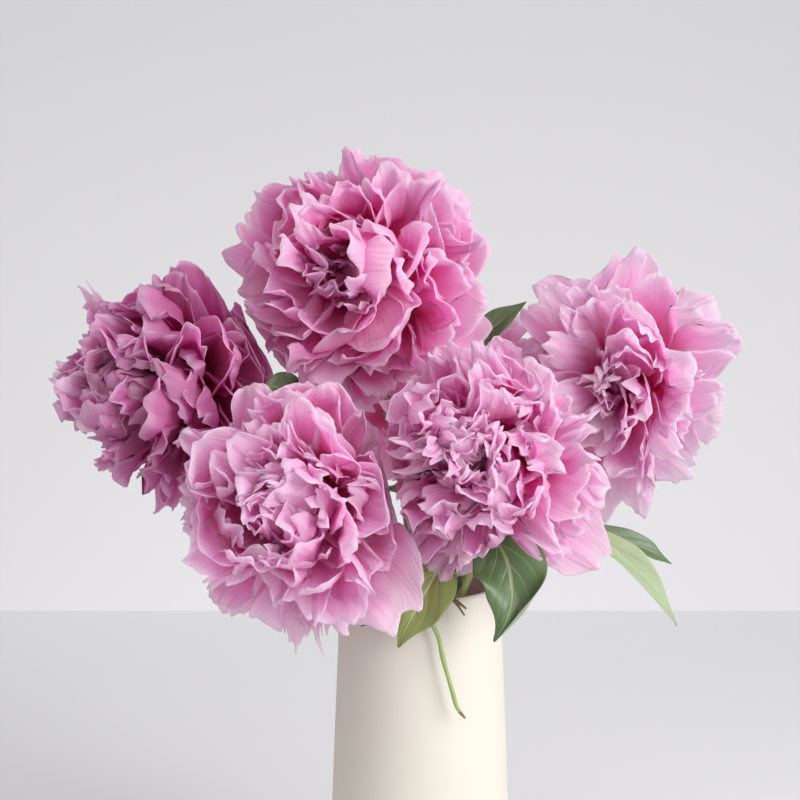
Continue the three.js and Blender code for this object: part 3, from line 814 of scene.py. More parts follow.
OPEN = Spiral(
    84,
    launch=(107, 98, 87, 70, 48, 22),
    tip=(94, 74, 52, 30, 10, -4),
    length=(1.10, 1.10, 1.15, 1.20, 1.18, 1.00),
    half=(0.50, 0.44, 0.41, 0.38, 0.34, 0.27),
)
RUFFLED = Spiral(
    96,
    launch=(108, 99, 88, 68, 42, 8),
    tip=(95, 70, 42, 16, -2, -4),
    length=(1.12, 1.10, 1.15, 1.22, 1.24, 1.14),
    half=(0.50, 0.36, 0.33, 0.31, 0.29, 0.25),
    flare=(10, 44, 62, 68, 66, 56),
    ruffle=(0.022, 0.045, 0.055, 0.055, 0.052, 0.045),
    cleft=(0.06, 0.10, 0.13, 0.13, 0.13, 0.12),
    twist=18.0,
    warp=18.0,
)
STRAPS = Spiral(
    16,
    launch=(92, 60),
    tip=(62, 18),
    length=(1.14, 1.24),
    half=(0.17, 0.16),
    cup=(0.7,),
    flare=(34,),
    ruffle=(0.035,),
    cleft=(0.05,),
    base=(0.11, 0.09),
    rise=(0.05, 0.09),
    grid=(12, 13),
)
CROWN = Spiral(
    32,
    launch=(76, 58, 38, 16),
    tip=(22, 4, -8, -12),
    length=(1.16, 1.22, 1.24, 1.18),
    half=(0.26, 0.25, 0.24, 0.22),
    cup=(0.9,),
    curl=(-4,),
    flare=(62,),
    ruffle=(0.055,),
    cleft=(0.13,),
    base=(0.10, 0.08, 0.06, 0.03),
    rise=(0.06, 0.10, 0.14, 0.16),
    twist=22.0,
    warp=26.0,
    tone=0.35,
    grid=(12, 19),
)
LOOSE = Spiral(
    62,
    launch=(104, 94, 80, 60, 38, 18),
    tip=(92, 80, 66, 50, 30, 8),
    length=(1.20, 1.20, 1.18, 1.12, 1.04, 0.92),
    half=(0.42, 0.40, 0.37, 0.33, 0.28, 0.23),
    cup=(0.4, 0.6, 0.7, 0.8),
    curl=(2, 0, -4, -8),
    flare=(12, 26, 34, 36),
    ruffle=(0.020, 0.035, 0.045, 0.045),
    cleft=(0.07, 0.10, 0.14, 0.15),
    tone=0.8,
)
HEART = Spiral(
    18,
    launch=(34, 10),
    tip=(14, 0),
    length=(0.80, 0.92),
    half=(0.085, 0.07),
    cup=(0.6,),
    flare=(40,),
    ruffle=(0.03,),
    cleft=(0.2,),
    base=(0.07, 0.02),
    rise=(0.16,),
    warp=40.0,
    tone=0.0,
    grid=(11, 11),
)
SEPALS = Spiral(
    5,
    launch=(120,),
    tip=(98,),
    length=(0.40,),
    half=(0.14,),
    cup=(0.5,),
    curl=(0,),
    flare=(12,),
    ruffle=(0.012,),
    cleft=(0.02,),
    base=(0.06,),
    rise=(-0.05,),
    twist=0.0,
    grid=(9, 9),
)
# Sepals and the petals listed one by one take numbers that no spiral's petals have.
SEPAL_NUMBER = 9
ITEMS_A_SPIRAL = 200.0
SHOW_ITEMS = 9000.0
SHOW_GRID = (16, 33)
PHASE_DRAW, CLEFT_DRAW = 20, 30
# How a listed petal is read: in degrees, as shares of the bloom's radius, or as it is.
ANGLES = ("around", "launch", "tip", "curl", "twist", "warp")
LENGTHS = ("length", "half", "base", "rise", "ruffle", "sway")
SHARES = ("cup", "cleft", "roll", "fan", "tone")
PHASES = 6
# Three clefts stand a step apart across the edge, each shifted, and broader or narrower, by chance.
CLEFTS = 3
CLEFT_STEP, CLEFT_SHIFT = 0.55, 0.36
CLEFT_BREADTH, CLEFT_SPREAD = 0.11, 0.10
# The lobes and the teeth: pace across the petal, phase and size. The mean of a sine's size is taken off.
NOTCHES = ((4.6, 0, 0.36), (10.5, 3, 0.22))
MEAN_BITE = 0.64
LEAST_EDGE = 0.48
# The ruffle's sines: size, power of s, pace across the petal, phase and drift along it.
RUFFLES = ((1.3, 0, 3.4, 1, 1.5), (0.8, 0, 7.0, 2, -2.0), (0.48, 2, 13.0, 3, 3.0))
HEM, CRUMPLE = 0.5, 0.32
# The rib is summed in equal steps to a little past its end, and its angle wobbles, in radians.
RIB_STEPS = 72
RIB_REACH = 1.08
WOBBLE = 0.16


@dataclass(frozen=True)
class Habit:
    """How one bloom grows: its spirals of petals, and gains on their width, ruffles and clefts."""

    spirals: tuple[Spiral, ...]
    width: float = 1.0
    ruffle: float = 1.0
    cleft: float = 1.0


class Form(Enum):
    """The forms that a double peony opens to: open with a loose heart, domed, fanned out or closed."""

    BOWL = Habit((OPEN, STRAPS, HEART), cleft=1.3)
    NEST = Habit((OPEN, STRAPS, HEART, CROWN), cleft=1.3)
    DOME = Habit((RUFFLED, CROWN, STRAPS), cleft=1.2)
    FAN = Habit((LOOSE, STRAPS, HEART))
    BALL = Habit((RUFFLED, CROWN), width=1.05, ruffle=0.9, cleft=0.7)


@dataclass
class PetalBatch:
    """Petals of one ring, each property an array of one value for each petal."""

    around: Array
    launch: Array
    tip: Array
    curl: Array
    length: Array
    half: Array
    base: Array
    rise: Array
    cup: Array
    ruffle: Array
    cleft: Array
    twist: Array
    warp: Array
    sway: Array
    roll: Array
    fan: Array
    tone: Array
    phases: Array
    clefts: Array

    @classmethod
    def drawn(cls, spiral: Spiral, number: int, seed: int, radius: float, habit: Habit) -> "PetalBatch":
        """Draw the petals of a spiral, each a little unlike its neighbours.

        Args:
            spiral: The spiral's plan.
            number: The spiral's number, which keeps its draws apart from the other spirals'.
            seed: The bloom's seed.
            radius: The bloom's radius.
            habit: The bloom's gains.

        Returns:
            The batch.
        """
        order = np.arange(spiral.count)
        item = ITEMS_A_SPIRAL * number + order
        share = order / max(spiral.count - 1, 1)

        def draw(which: int, low: float, high: float) -> Array:
            """Draw one value for each petal."""
            return low + (high - low) * chance(seed, item, which)

        def along(stations: Stations) -> Array:
            """Read the plan's values at each petal."""
            return np.interp(share, np.linspace(0, 1, len(stations)), stations)

        swing = draw(4, -1, 1)
        curl = along(spiral.curl) + along(spiral.flare) * np.sign(swing) * np.abs(swing) ** 0.7
        return cls(
            around=GOLDEN_TURN * (order + draw(1, -0.12, 0.12)) + seed,
            launch=np.radians(along(spiral.launch) + draw(2, -8, 8)),
            tip=np.radians(along(spiral.tip) + draw(3, -14, 14)),
            curl=np.radians(curl),
            length=radius * along(spiral.length) * draw(5, 0.84, 1.08),
            half=radius * along(spiral.half) * habit.width * draw(6, 0.62, 1.28),
            base=radius * along(spiral.base),
            rise=radius * along(spiral.rise),
            cup=along(spiral.cup) * draw(7, 0.5, 1.6),
            ruffle=radius * along(spiral.ruffle) * habit.ruffle * draw(8, 0.5, 1.5),
            cleft=along(spiral.cleft) * habit.cleft * draw(9, 0.3, 1.6),
            twist=np.radians(spiral.twist + draw(10, -24, 24)),
            warp=np.radians(draw(11, -spiral.warp, spiral.warp)),
            sway=radius * draw(12, -0.10, 0.10),
            roll=draw(13, -0.16, 0.22),
            fan=spiral.fan + draw(15, -0.10, 0.14),
            tone=spiral.tone * draw(14, 0.0, 2.0),
            **cls._chances(seed, item),
        )

    @staticmethod
    def _chances(seed: int, item: Array) -> dict[str, Array]:
        """Draw the phases of each petal's waves, and the place, depth and breadth of its clefts."""
        return {
            "phases": TAU * np.stack([chance(seed, item, PHASE_DRAW + k) for k in range(PHASES)]),
            "clefts": np.stack([chance(seed, item, CLEFT_DRAW + k) for k in range(3 * CLEFTS)]),
        }

    @classmethod
    def shown(cls, petals: Sequence[ShowPetal], seed: int, radius: float) -> "PetalBatch":
        """Gather the petals whose properties are given.

        Args:
            petals: The petals.
            seed: The bloom's seed, for the waves and clefts alone.
            radius: The bloom's radius.

        Returns:
            The batch.
        """

        def column(label: str) -> Array:
            """Read one property of every petal."""
            return np.array([getattr(petal, label) for petal in petals], float)

        return cls(
            **{label: np.radians(column(label)) for label in ANGLES},
            **{label: radius * column(label) for label in LENGTHS},
            **{label: column(label) for label in SHARES},
            **cls._chances(seed, SHOW_ITEMS + np.arange(len(petals))),
        )

    def without(self, fallen: Sequence[int]) -> "PetalBatch":
        """Leave out the petals with these places in the batch."""
        kept = {item.name: np.delete(getattr(self, item.name), fallen, axis=-1) for item in fields(self)}
        return PetalBatch(**kept)

    def surface(self, rows: int, columns: int) -> tuple[Array, Array, Array]:
        """Work out the petals' middle surfaces in the bloom's own frame, with its axis on +Z.

        Across a petal w runs from -1 to 1 and along it u from 0 to 1. The rib is a curve whose angle from
        the axis turns from launch to tip, with the curl added late, and its radius and height are the
        running sums of the angle's sine and cosine. The far edge is rounded, with three clefts, lobes and
        teeth, and every point's place s on the rib is u times that edge. The cross-section is an arc of
        the cup's curvature whose margins roll back. The ruffle is a sum of sines across the petal that
        grows with the cube of s, with a wave along each margin and a fine crumple.

        Args:
            rows: Points along a petal.
            columns: Points across it.

        Returns:
            Points (n, rows, columns, 3), and the places across and along as grids from 0 to 1.
        """
        even = np.linspace(0, 1, rows)[None, :, None]
        u = even + 0.11 * np.sin(np.pi * even) * even
        w = np.linspace(-1, 1, columns)[None, None, :]
        s = u * (1 + (np.maximum(self._edge(w), LEAST_EDGE) - 1) * u**0.9)
        fan = stood(self.fan)
        rounded = np.sin(np.clip(u / fan, 0, 1) * np.pi / 2) ** 1.35
        profile = 0.14 + 0.86 * rounded - 0.12 * np.clip((u - fan) / (1.02 - fan), 0, 1) ** 2
        half = stood(self.half)
        x = w * half * profile
        radius, height, angle = self._rib(np.broadcast_to(s, (len(self.around), rows, columns)))
        bend = stood(self.cup) / half * np.clip(0.35 + 0.65 * np.sin(np.clip(s, 0, 1) * np.pi * 0.75), 0, 2)
        flat = np.sin(bend * x) / bend
        lift = (1 - np.cos(bend * x)) / bend
        width = x / half
        lift = lift - stood(self.roll) * half * np.abs(width) ** 4 * s**2
        lift = lift + stood(self.ruffle) * self._waves(w, width, s)
        turn = stood(self.twist) + stood(self.warp) * s
        side = flat * np.cos(turn) - lift * np.sin(turn) + stood(self.sway) * s**2
        inward = flat * np.sin(turn) + lift * np.cos(turn)
        reach = radius - inward * np.cos(angle)
        around = stood(self.around)
        east = reach * np.cos(around) - side * np.sin(around)
        north = reach * np.sin(around) + side * np.cos(around)
        points = np.stack([east, north, height + inward * np.sin(angle)], axis=-1)
        return points, np.broadcast_to(0.5 * w + 0.5, points.shape[:3]), np.broadcast_to(u, points.shape[:3])

    def _edge(self, w: Array) -> Array:
        """Give how far along its rib each petal's edge is at the places w, with its clefts and notches."""
        edge = 1 - 0.34 * np.abs(w) ** 2.8
        for k in range(CLEFTS):
            place = stood((k - 1) * CLEFT_STEP + CLEFT_SHIFT * (self.clefts[k] - 0.5))
            depth = stood(self.cleft * self.clefts[CLEFTS + k])
            breadth = stood(CLEFT_BREADTH + CLEFT_SPREAD * self.clefts[2 * CLEFTS + k])
            edge = edge - depth * np.exp(-(((w - place) / breadth) ** 2))
        for pace, phase, size in NOTCHES:
            bite = np.abs(np.sin(pace * w + stood(self.phases[phase]))) - MEAN_BITE
            edge = edge + stood(self.cleft) * size * bite
        return edge

    def _waves(self, w: Array, width: Array, s: Array) -> Array:
        """Add up the ruffles, the margins' own wave and the crumple, as shares of the ruffle's size."""
        ruffles = sum(
            size * s**power * np.sin(pace * width + stood(self.phases[phase]) + drift * s)
            for size, power, pace, phase, drift in RUFFLES
        )
        flutter = np.sin(8 * s + stood(self.phases[4]) * np.sign(w))
        hem = HEM * width**2 * flutter * np.clip(1.5 * s - 0.4, 0, 1)
        crumple = np.sin(15 * width + stood(self.phases[4]) + 4 * s) * np.sin(10 * s + stood(self.phases[0]))
        return s**3 * ruffles + hem + s * CRUMPLE * crumple

    def _rib(self, s: Array) -> tuple[Array, Array, Array]:
        """Follow each petal's rib: radius, height and angle from the axis at the places s."""
        t = np.linspace(0, RIB_REACH, RIB_STEPS + 1)[None, :]
        late = np.clip((t - 0.5) / 0.5, 0, 1) ** 1.6
        wobble = WOBBLE * np.sin(6.5 * t + self.phases[5][:, None]) * t
        turned = (self.tip - self.launch)[:, None] * t**0.9 + self.curl[:, None] * late
        angle = self.launch[:, None] + turned + wobble
        step = self.length[:, None] * RIB_REACH / RIB_STEPS
        middle = 0.5 * (angle[:, 1:] + angle[:, :-1])

        def summed(start: Array, slope: Array) -> Array:
            """Add the steps up from each petal's start."""
            sums = np.cumsum(slope * step, axis=1)
            return start[:, None] + np.pad(sums, ((0, 0), (1, 0)))

        radius = summed(self.base, np.sin(middle))
        height = summed(self.rise, np.cos(middle))
        place = np.clip(s / RIB_REACH * RIB_STEPS, 0, RIB_STEPS - 1e-6)
        below = np.floor(place).astype(int)
        share = place - below
        flat = below.reshape(len(s), -1)

        def sample(table: Array) -> Array:
            """Read a table between its two nearest stations."""
            low = np.take_along_axis(table, flat, axis=1).reshape(s.shape)
            high = np.take_along_axis(table, flat + 1, axis=1).reshape(s.shape)
            return low + (high - low) * share

        return sample(radius), sample(height), sample(angle)


# ---- Blooms --------------------------------------------------------------------------------------


@dataclass
class Bloom:
    """One double flower: spirals of petals on a small core, bent clear of the blooms beside it.

    shows are petals given one by one, free those of them that no neighbour bounds, and fallen the places
    of the first spiral's petals that are gone. The bloom's painted lighting is added to every petal's tone:
    painted light on the blooms towards the lamp and painted shade on those away from it. foremost is how
    far the bloom reaches, as a share of its radius, and folds are wavelengths and depths.
    """

    name: str
    centre: Point
    facing: Point
    radius: float
    seed: int
    neck: float
    mouth: tuple[float, float]
    form: Form
    # Painted light and shade: above zero pales the bloom as painted light, below zero darkens it as painted
    # shade.
    painted_lighting: float = 0.0
    shows: tuple[ShowPetal, ...] = ()
    free: tuple[ShowPetal, ...] = ()
    fallen: tuple[int, ...] = ()
    base_share: float = 0.5
    foremost: float = 1.25
    clear: float = 0.0008
    least_yield: float = 0.004
    tone_yield: float = 0.008
    shortening: float = 0.75
    most_shortened: float = 0.6
    core: float = 0.22
    core_rise: float = 0.26
    core_place: Place = (0.5, 0.18)
    petal_thickness: float = 0.00042
    folds: tuple[tuple[float, float], ...] = ((0.045, 0.0035), (0.016, 0.0010))

    def axis(self) -> Array:
        """Give the unit vector along which the bloom opens."""
        return unit(np.array(self.facing))

    def base(self) -> Array:
        """Give the point where the petals join the stem."""
        return np.array(self.centre) - self.base_share * self.radius * self.axis()

    def placed(self, points: Array) -> Array:
        """Move points from the bloom's own frame, with its axis on +Z, to where it stands."""
        axis = self.axis()
        right = unit(np.array([1.0, 0.0, 0.0]) - axis[0] * axis)
        up = np.cross(axis, right)
        return self.base() + points[..., :1] * right + points[..., 1:2] * up + points[..., 2:] * axis

    def walls(self, blooms: Sequence["Bloom"]) -> list[tuple[Array, float]]:
        """Find the planes between the bloom and its neighbours, as a normal and its reach."""
        found = []
        mine = self.radius * self.foremost
        for other in blooms:
            span = np.array(other.centre) - np.array(self.centre)
            apart = float(np.linalg.norm(span))
            theirs = other.radius * other.foremost
            if other is self or apart > mine + theirs:
                continue
            share = (apart**2 + mine**2 - theirs**2) / (2 * apart)
            normal = span / apart
            found.append((normal, share + float(normal @ np.array(self.centre))))
        return found

    def _folded(self, points: Array) -> Array:
        """Fold the petals together, in broad folds and fine ones that grow away from the base."""
        out = np.linalg.norm(points - self.base(), axis=-1, keepdims=True) / self.radius
        folded = points
        for number, (wavelength, depth) in enumerate(self.folds):
            folded = wandered(folded, self.seed + 7.0 * number, wavelength, depth)
        return points + smooth_step(0.1, 0.7, out) * (folded - points)

    def _bent_clear(self, points: Array, walls: list[tuple[Array, float]], yielding: Array) -> Array:
        """Bend petals back from the walls: room below the yielding shrinks towards zero and never past it."""
        for normal, reach in walls:
            room = reach - points @ normal - self.clear
            kept = np.where(room < yielding, yielding * np.exp(np.minimum(room / yielding, 1) - 1), room)
            points = points + (room - kept)[..., None] * normal
        return points

    def _add_batch(
        self, parts: MeshParts, batch: PetalBatch, walls: list[tuple[Array, float]], grid: tuple[int, int]
    ) -> None:
        """Add one batch of petals, shortened where they would run far into a neighbour."""
        points, u, v = batch.surface(*grid)
        placed = self._folded(self.placed(points))
        over = np.zeros(len(batch.around))
        for normal, reach in walls:
            over = np.maximum(over, (placed @ normal - reach).max(axis=(1, 2)))
        cut = np.clip(self.shortening * over / batch.length, 0, self.most_shortened)
        batch.length = batch.length * (1 - cut)
        points, u, v = batch.surface(*grid)
        yielding = self.least_yield + self.tone_yield * batch.tone[:, None, None]
        placed = self._bent_clear(self._folded(self.placed(points)), walls, yielding)
        # The bloom's painted light and shade ride on every petal's tone.
        add_blades(parts, placed, self.petal_thickness, u, v, batch.tone + self.painted_lighting)

    def _add_core(self, parts: MeshParts) -> None:
        """Add the small ball that the petals grow from, in the colour of their roots."""
        turn = np.linspace(-np.pi / 2, np.pi / 2, 15)
        ball = np.stack([self.core * np.cos(turn), self.core_rise + self.core * np.sin(turn)], -1)
        add_turned(parts, ball * self.radius, 24, self.placed, 0.0)
        parts.maps[-1][:] = self.core_place

    def build(self, palette: Palette, blooms: Sequence["Bloom"]) -> bpy.types.Object:
        """Build the bloom as one piece that replaces its solid.

        Args:
            palette: The finishes.
            blooms: Every bloom of the bouquet, for the walls between them.

        Returns:
            The piece.
        """
        parts = MeshParts()
        habit = self.form.value
        walls = self.walls(blooms)
        for number, spiral in enumerate(habit.spirals):
            batch = PetalBatch.drawn(spiral, number, self.seed, self.radius, habit)
            if number == 0 and self.fallen:
                batch = batch.without(self.fallen)
            self._add_batch(parts, batch, walls, spiral.grid)
        for shows, bounds in ((self.shows, walls), (self.free, [])):
            if shows:
                self._add_batch(parts, PetalBatch.shown(shows, self.seed, self.radius), bounds, SHOW_GRID)
        self._add_core(parts)
        piece = parts.build("petals_" + self.name, [palette["petal"]])
        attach(piece, BODY)
        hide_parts("bloom_" + self.name)
        return piece


# The blooms towards the lamp on the right get painted light, those on the left painted shade.
BLOOMS = (
    Bloom(
        "top", centre=(-0.041, 0.005, 0.402), facing=(-0.24, -0.93, 0.29), radius=0.066, seed=11,
        neck=0.018, mouth=(-0.003, 0.006), form=Form.BOWL, painted_lighting=-0.45,
        shows=(
            ShowPetal(
                172, 22, -84, 1.26, 0.44, 1.5, -16, roll=-0.1, tone=1.4, base=0.06, rise=0.20, ruffle=0.03
            ),
            ShowPetal(30, 30, -30, 1.20, 0.40, 1.6, -10, tone=1.2, base=0.24, rise=0.14, ruffle=0.03),
            ShowPetal(-56, 30, 92, 0.80, 0.28, 0.2, 0, tone=1.6, base=0.18, rise=0.38, cleft=0.03),
            ShowPetal(-34, 104, 100, 1.42, 0.42, 0.3, 0, tone=0.9),
            ShowPetal(172, 44, 34, 1.02, 0.27, 1.2, 10, tone=1.0),
        ),
        fallen=(25, 33, 51),
    ),
    Bloom(
        "left", centre=(-0.155, 0.015, 0.334), facing=(-0.62, -0.75, 0.2), radius=0.063, seed=23,
        neck=0.016, mouth=(-0.024, 0.008), form=Form.BALL, painted_lighting=-1.2,
        shows=(
            ShowPetal(120, 40, -20, 1.30, 0.42, 1.4, -10, tone=1.4),
            ShowPetal(196, 30, 0, 1.27, 0.38, 1.3, -6, tone=1.9),
            ShowPetal(232, 36, 4, 1.26, 0.36, 1.3, -6, tone=1.9),
            ShowPetal(126, 62, 48, 1.24, 0.27, 0.5, 6, cleft=0.22, tone=1.7, roll=0.0),
            ShowPetal(170, 78, 72, 1.34, 0.30, 0.5, 10, cleft=0.16, tone=1.7, roll=0.0),
            ShowPetal(20, 98, 88, 1.36, 0.52, 0.4, 0, tone=0.9),
        ),
        fallen=(4, 12),
    ),
    Bloom(
        "front_left", centre=(-0.0735, -0.062, 0.2825), facing=(-0.2, -0.93, 0.3), radius=0.061, seed=37,
        neck=0.016, mouth=(-0.017, -0.010), form=Form.NEST, painted_lighting=0.3,
        shows=(
            ShowPetal(-15, 44, -34, 1.24, 0.38, 1.3, -10, tone=1.0, base=0.16),
            ShowPetal(150, 62, 18, 1.26, 0.50, 1.2, 8, tone=0.9),
            ShowPetal(205, 66, 14, 1.26, 0.50, 1.2, -8, tone=0.8),
            ShowPetal(-98, 62, 0, 1.22, 0.50, 1.1, -36, tone=0.9),
            ShowPetal(-5, 92, 74, 1.20, 0.44, 0.5, 0, tone=0.5),
            ShowPetal(-82, 94, 96, 1.34, 0.20, 0.5, 0, cleft=0.26, tone=1.8),
            ShowPetal(-95, 92, 92, 1.28, 0.18, 0.5, 0, cleft=0.26, tone=1.8),
        ),
        free=(ShowPetal(-47, 90, 62, 1.56, 0.56, 0.20, 0, cleft=0.15, tone=1.2, roll=-0.05, fan=0.84),),
    ),
    Bloom(
        "front_right", centre=(0.033, -0.062, 0.307), facing=(-0.15, -0.94, 0.3), radius=0.059, seed=41,
        neck=0.016, mouth=(0.012, -0.014), form=Form.DOME, painted_lighting=0.6,
        shows=(
            ShowPetal(-41, 100, 96, 1.40, 0.43, 0.3, 0, tone=0.8),
            ShowPetal(-106, 100, 99, 1.10, 0.30, 0.3, 0, cleft=0.10, tone=1.0),
            ShowPetal(-88, 98, 94, 1.02, 0.26, 0.4, 0, cleft=0.12, tone=1.0),
            ShowPetal(-152, 98, 88, 1.34, 0.40, 0.4, 0, cleft=0.08, tone=0.6),
            ShowPetal(178, 98, 84, 1.26, 0.36, 0.5, 0, cleft=0.08, tone=0.6),
            ShowPetal(190, 104, 100, 1.40, 0.40, 0.3, 0, cleft=0.08, tone=0.6),
        ),
        fallen=(19, 40),
    ),
    Bloom(
        "right", centre=(0.1115, 0.018, 0.334), facing=(-0.40, -0.91, -0.08), radius=0.060, seed=59,
        neck=0.016, mouth=(0.024, 0.004), form=Form.FAN, painted_lighting=1.15,
        shows=(
            ShowPetal(-100, 98, 94, 1.45, 0.32, 0.4, 0, cleft=0.10, tone=0.7),
            ShowPetal(-82, 96, 90, 1.30, 0.30, 0.5, 0, tone=0.6),
            ShowPetal(74, 46, 62, 1.10, 0.42, 0.3, 0, cleft=0.14, tone=1.0),
            ShowPetal(22, 66, 34, 1.28, 0.42, 0.9, 0, cleft=0.06, tone=0.8),
            ShowPetal(-14, 60, 40, 1.02, 0.32, 1.0, 8, cleft=0.06, tone=1.0),
        ),
        fallen=(4, 15),
    ),
    Bloom(
        "back", centre=(0.013, 0.092, 0.329), facing=(0.2, 0.75, 0.6), radius=0.059, seed=67,
        neck=0.016, mouth=(0.006, 0.024), form=Form.DOME,
    ),
)


# ---- Stems ---------------------------------------------------------------------------------------


@dataclass
class Stem:
    """A bloom's stem, from the floor of the vase to the cup that carries the petals, with its sepals."""

    bloom: Bloom
    radius: float = 0.0032
    foot: float = 0.0085
    splay: float = 0.91
    mouth_height: float = 0.212
    bow: float = 0.06
    unevenness: float = 0.05
    swelling: float = 0.22
    cup_radius: float = 0.009
    cup_depth: float = 0.009
    cup_tone: float = 0.4
    sepal_thickness: float = 0.0009

    def line(self) -> Array:
        """Carry the stem's centre line up through the mouth to the bloom's base."""
        x, y = self.bloom.mouth
        axis = self.bloom.axis()
        base = self.bloom.base()
        neck = base - axis * (self.cup_depth + self.bloom.neck)
        mouth = np.array([x, y, self.mouth_height])
        rising = 0.5 * (mouth + neck) + np.array([0, 0, self.bow * np.linalg.norm(neck - mouth)])
        points = np.array(
            [
                (x * self.splay, y * self.splay, self.foot),
                (x * self.splay, y * self.splay, self.mouth_height / 2),
                mouth,
                rising,
                neck,
                base - axis * self.cup_depth * 0.55,
            ]
        )
        return spline(points, 90)

    def build(self, palette: Palette) -> bpy.types.Object:
        """Build the stem with its cup and sepals as one piece that replaces its solid."""
        parts = MeshParts()
        line = self.line()
        reach = np.linspace(0, 1, len(line))
        uneven = self.unevenness * np.sin(19 * reach + self.bloom.seed)
        add_rod(parts, line, self.radius * (1 + uneven + self.swelling * smooth_step(0.94, 1.0, reach)), 16)
        turn = np.linspace(0, np.pi, 13)
        swell = self.cup_radius * np.sin(turn) ** 0.8
        cup = np.stack([swell, -self.cup_depth * (0.42 + 0.58 * np.cos(turn))], -1)
        cup[[0, -1], 0] = 0
        add_turned(parts, cup, 20, self.bloom.placed, self.cup_tone)
        batch = PetalBatch.drawn(SEPALS, SEPAL_NUMBER, self.bloom.seed, self.bloom.radius, Habit(()))
        points, u, v = batch.surface(*SEPALS.grid)
        add_blades(parts, self.bloom.placed(points), self.sepal_thickness, u, v, batch.tone)
        piece = parts.build("stalk_" + self.bloom.name, [palette["stem"]])
        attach(piece, BODY)
        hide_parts("stem_" + self.bloom.name)
        return piece


@dataclass
class BareStalk:
    """A leaf stalk without its blade, which leans over the rim and hangs down the vase.

    withered are the brown strands beside it, and split the point of the line where its end turns brown.
    """

    route: tuple[Point, ...] = (
        (0.009, -0.022, 0.214),
        (0.006, -0.036, 0.226),
        (0.003, -0.047, 0.227),
        (0.0035, -0.0535, 0.215),
        (0.0095, -0.0542, 0.2015),
        (0.0125, -0.0548, 0.188),
        (0.0175, -0.055, 0.170),
        (0.0205, -0.0555, 0.160),
        (0.0250, -0.056, 0.154),
    )
    withered: tuple[tuple[Point, ...], ...] = (
        (
            (0.010, -0.036, 0.222), (0.0135, -0.0462, 0.2235), (0.0195, -0.0492, 0.2195),
            (0.0245, -0.0500, 0.2125),
        ),
        ((0.0135, -0.0455, 0.2237), (0.0190, -0.0470, 0.2232), (0.0235, -0.0462, 0.2238)),
        ((0.0165, -0.0480, 0.2220), (0.0215, -0.0500, 0.2195), (0.0255, -0.0508, 0.2165)),
    )
    radius: float = 0.0017
    split: int = 66

    def build(self, palette: Palette) -> bpy.types.Object:
        """Build the stalk, thinner towards its torn brown end, as one piece that replaces its solid."""
        parts = MeshParts()
        line = spline(np.array(self.route), 70)
        reach = np.linspace(0, 1, len(line))
        thick = self.radius * (0.95 - 0.25 * reach) * (1 + 0.10 * np.sin(31 * reach))
        add_rod(parts, line[: self.split + 1], thick[: self.split + 1], 12)
        end = line[self.split :]
        add_rod(parts, end, thick[self.split :] * np.linspace(1.0, 0.55, len(end)), 12, slot=1)
        for scrap in self.withered:
            strand = spline(np.array(scrap), 20)
            add_rod(parts, strand, self.radius * np.linspace(0.9, 0.3, len(strand)), 10, slot=1)
        piece = parts.build("hanging_stalk", [palette["stem"], palette["stalk_brown"]])
        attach(piece, BODY)
        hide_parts("bare_stalk")
        return piece


# ---- Leaves --------------------------------------------------------------------------------------


# How many side veins a leaf has to either side, and how far each runs up the blade on its way out.
VEINS = 5.0
VEIN_SLANT = 0.5


class LeafTone(Enum):
    """Which finish a leaf takes, by its name in the palette."""

    DARK = "leaf_dark"
    LIGHT = "leaf_light"
    SAGE = "leaf_sage"


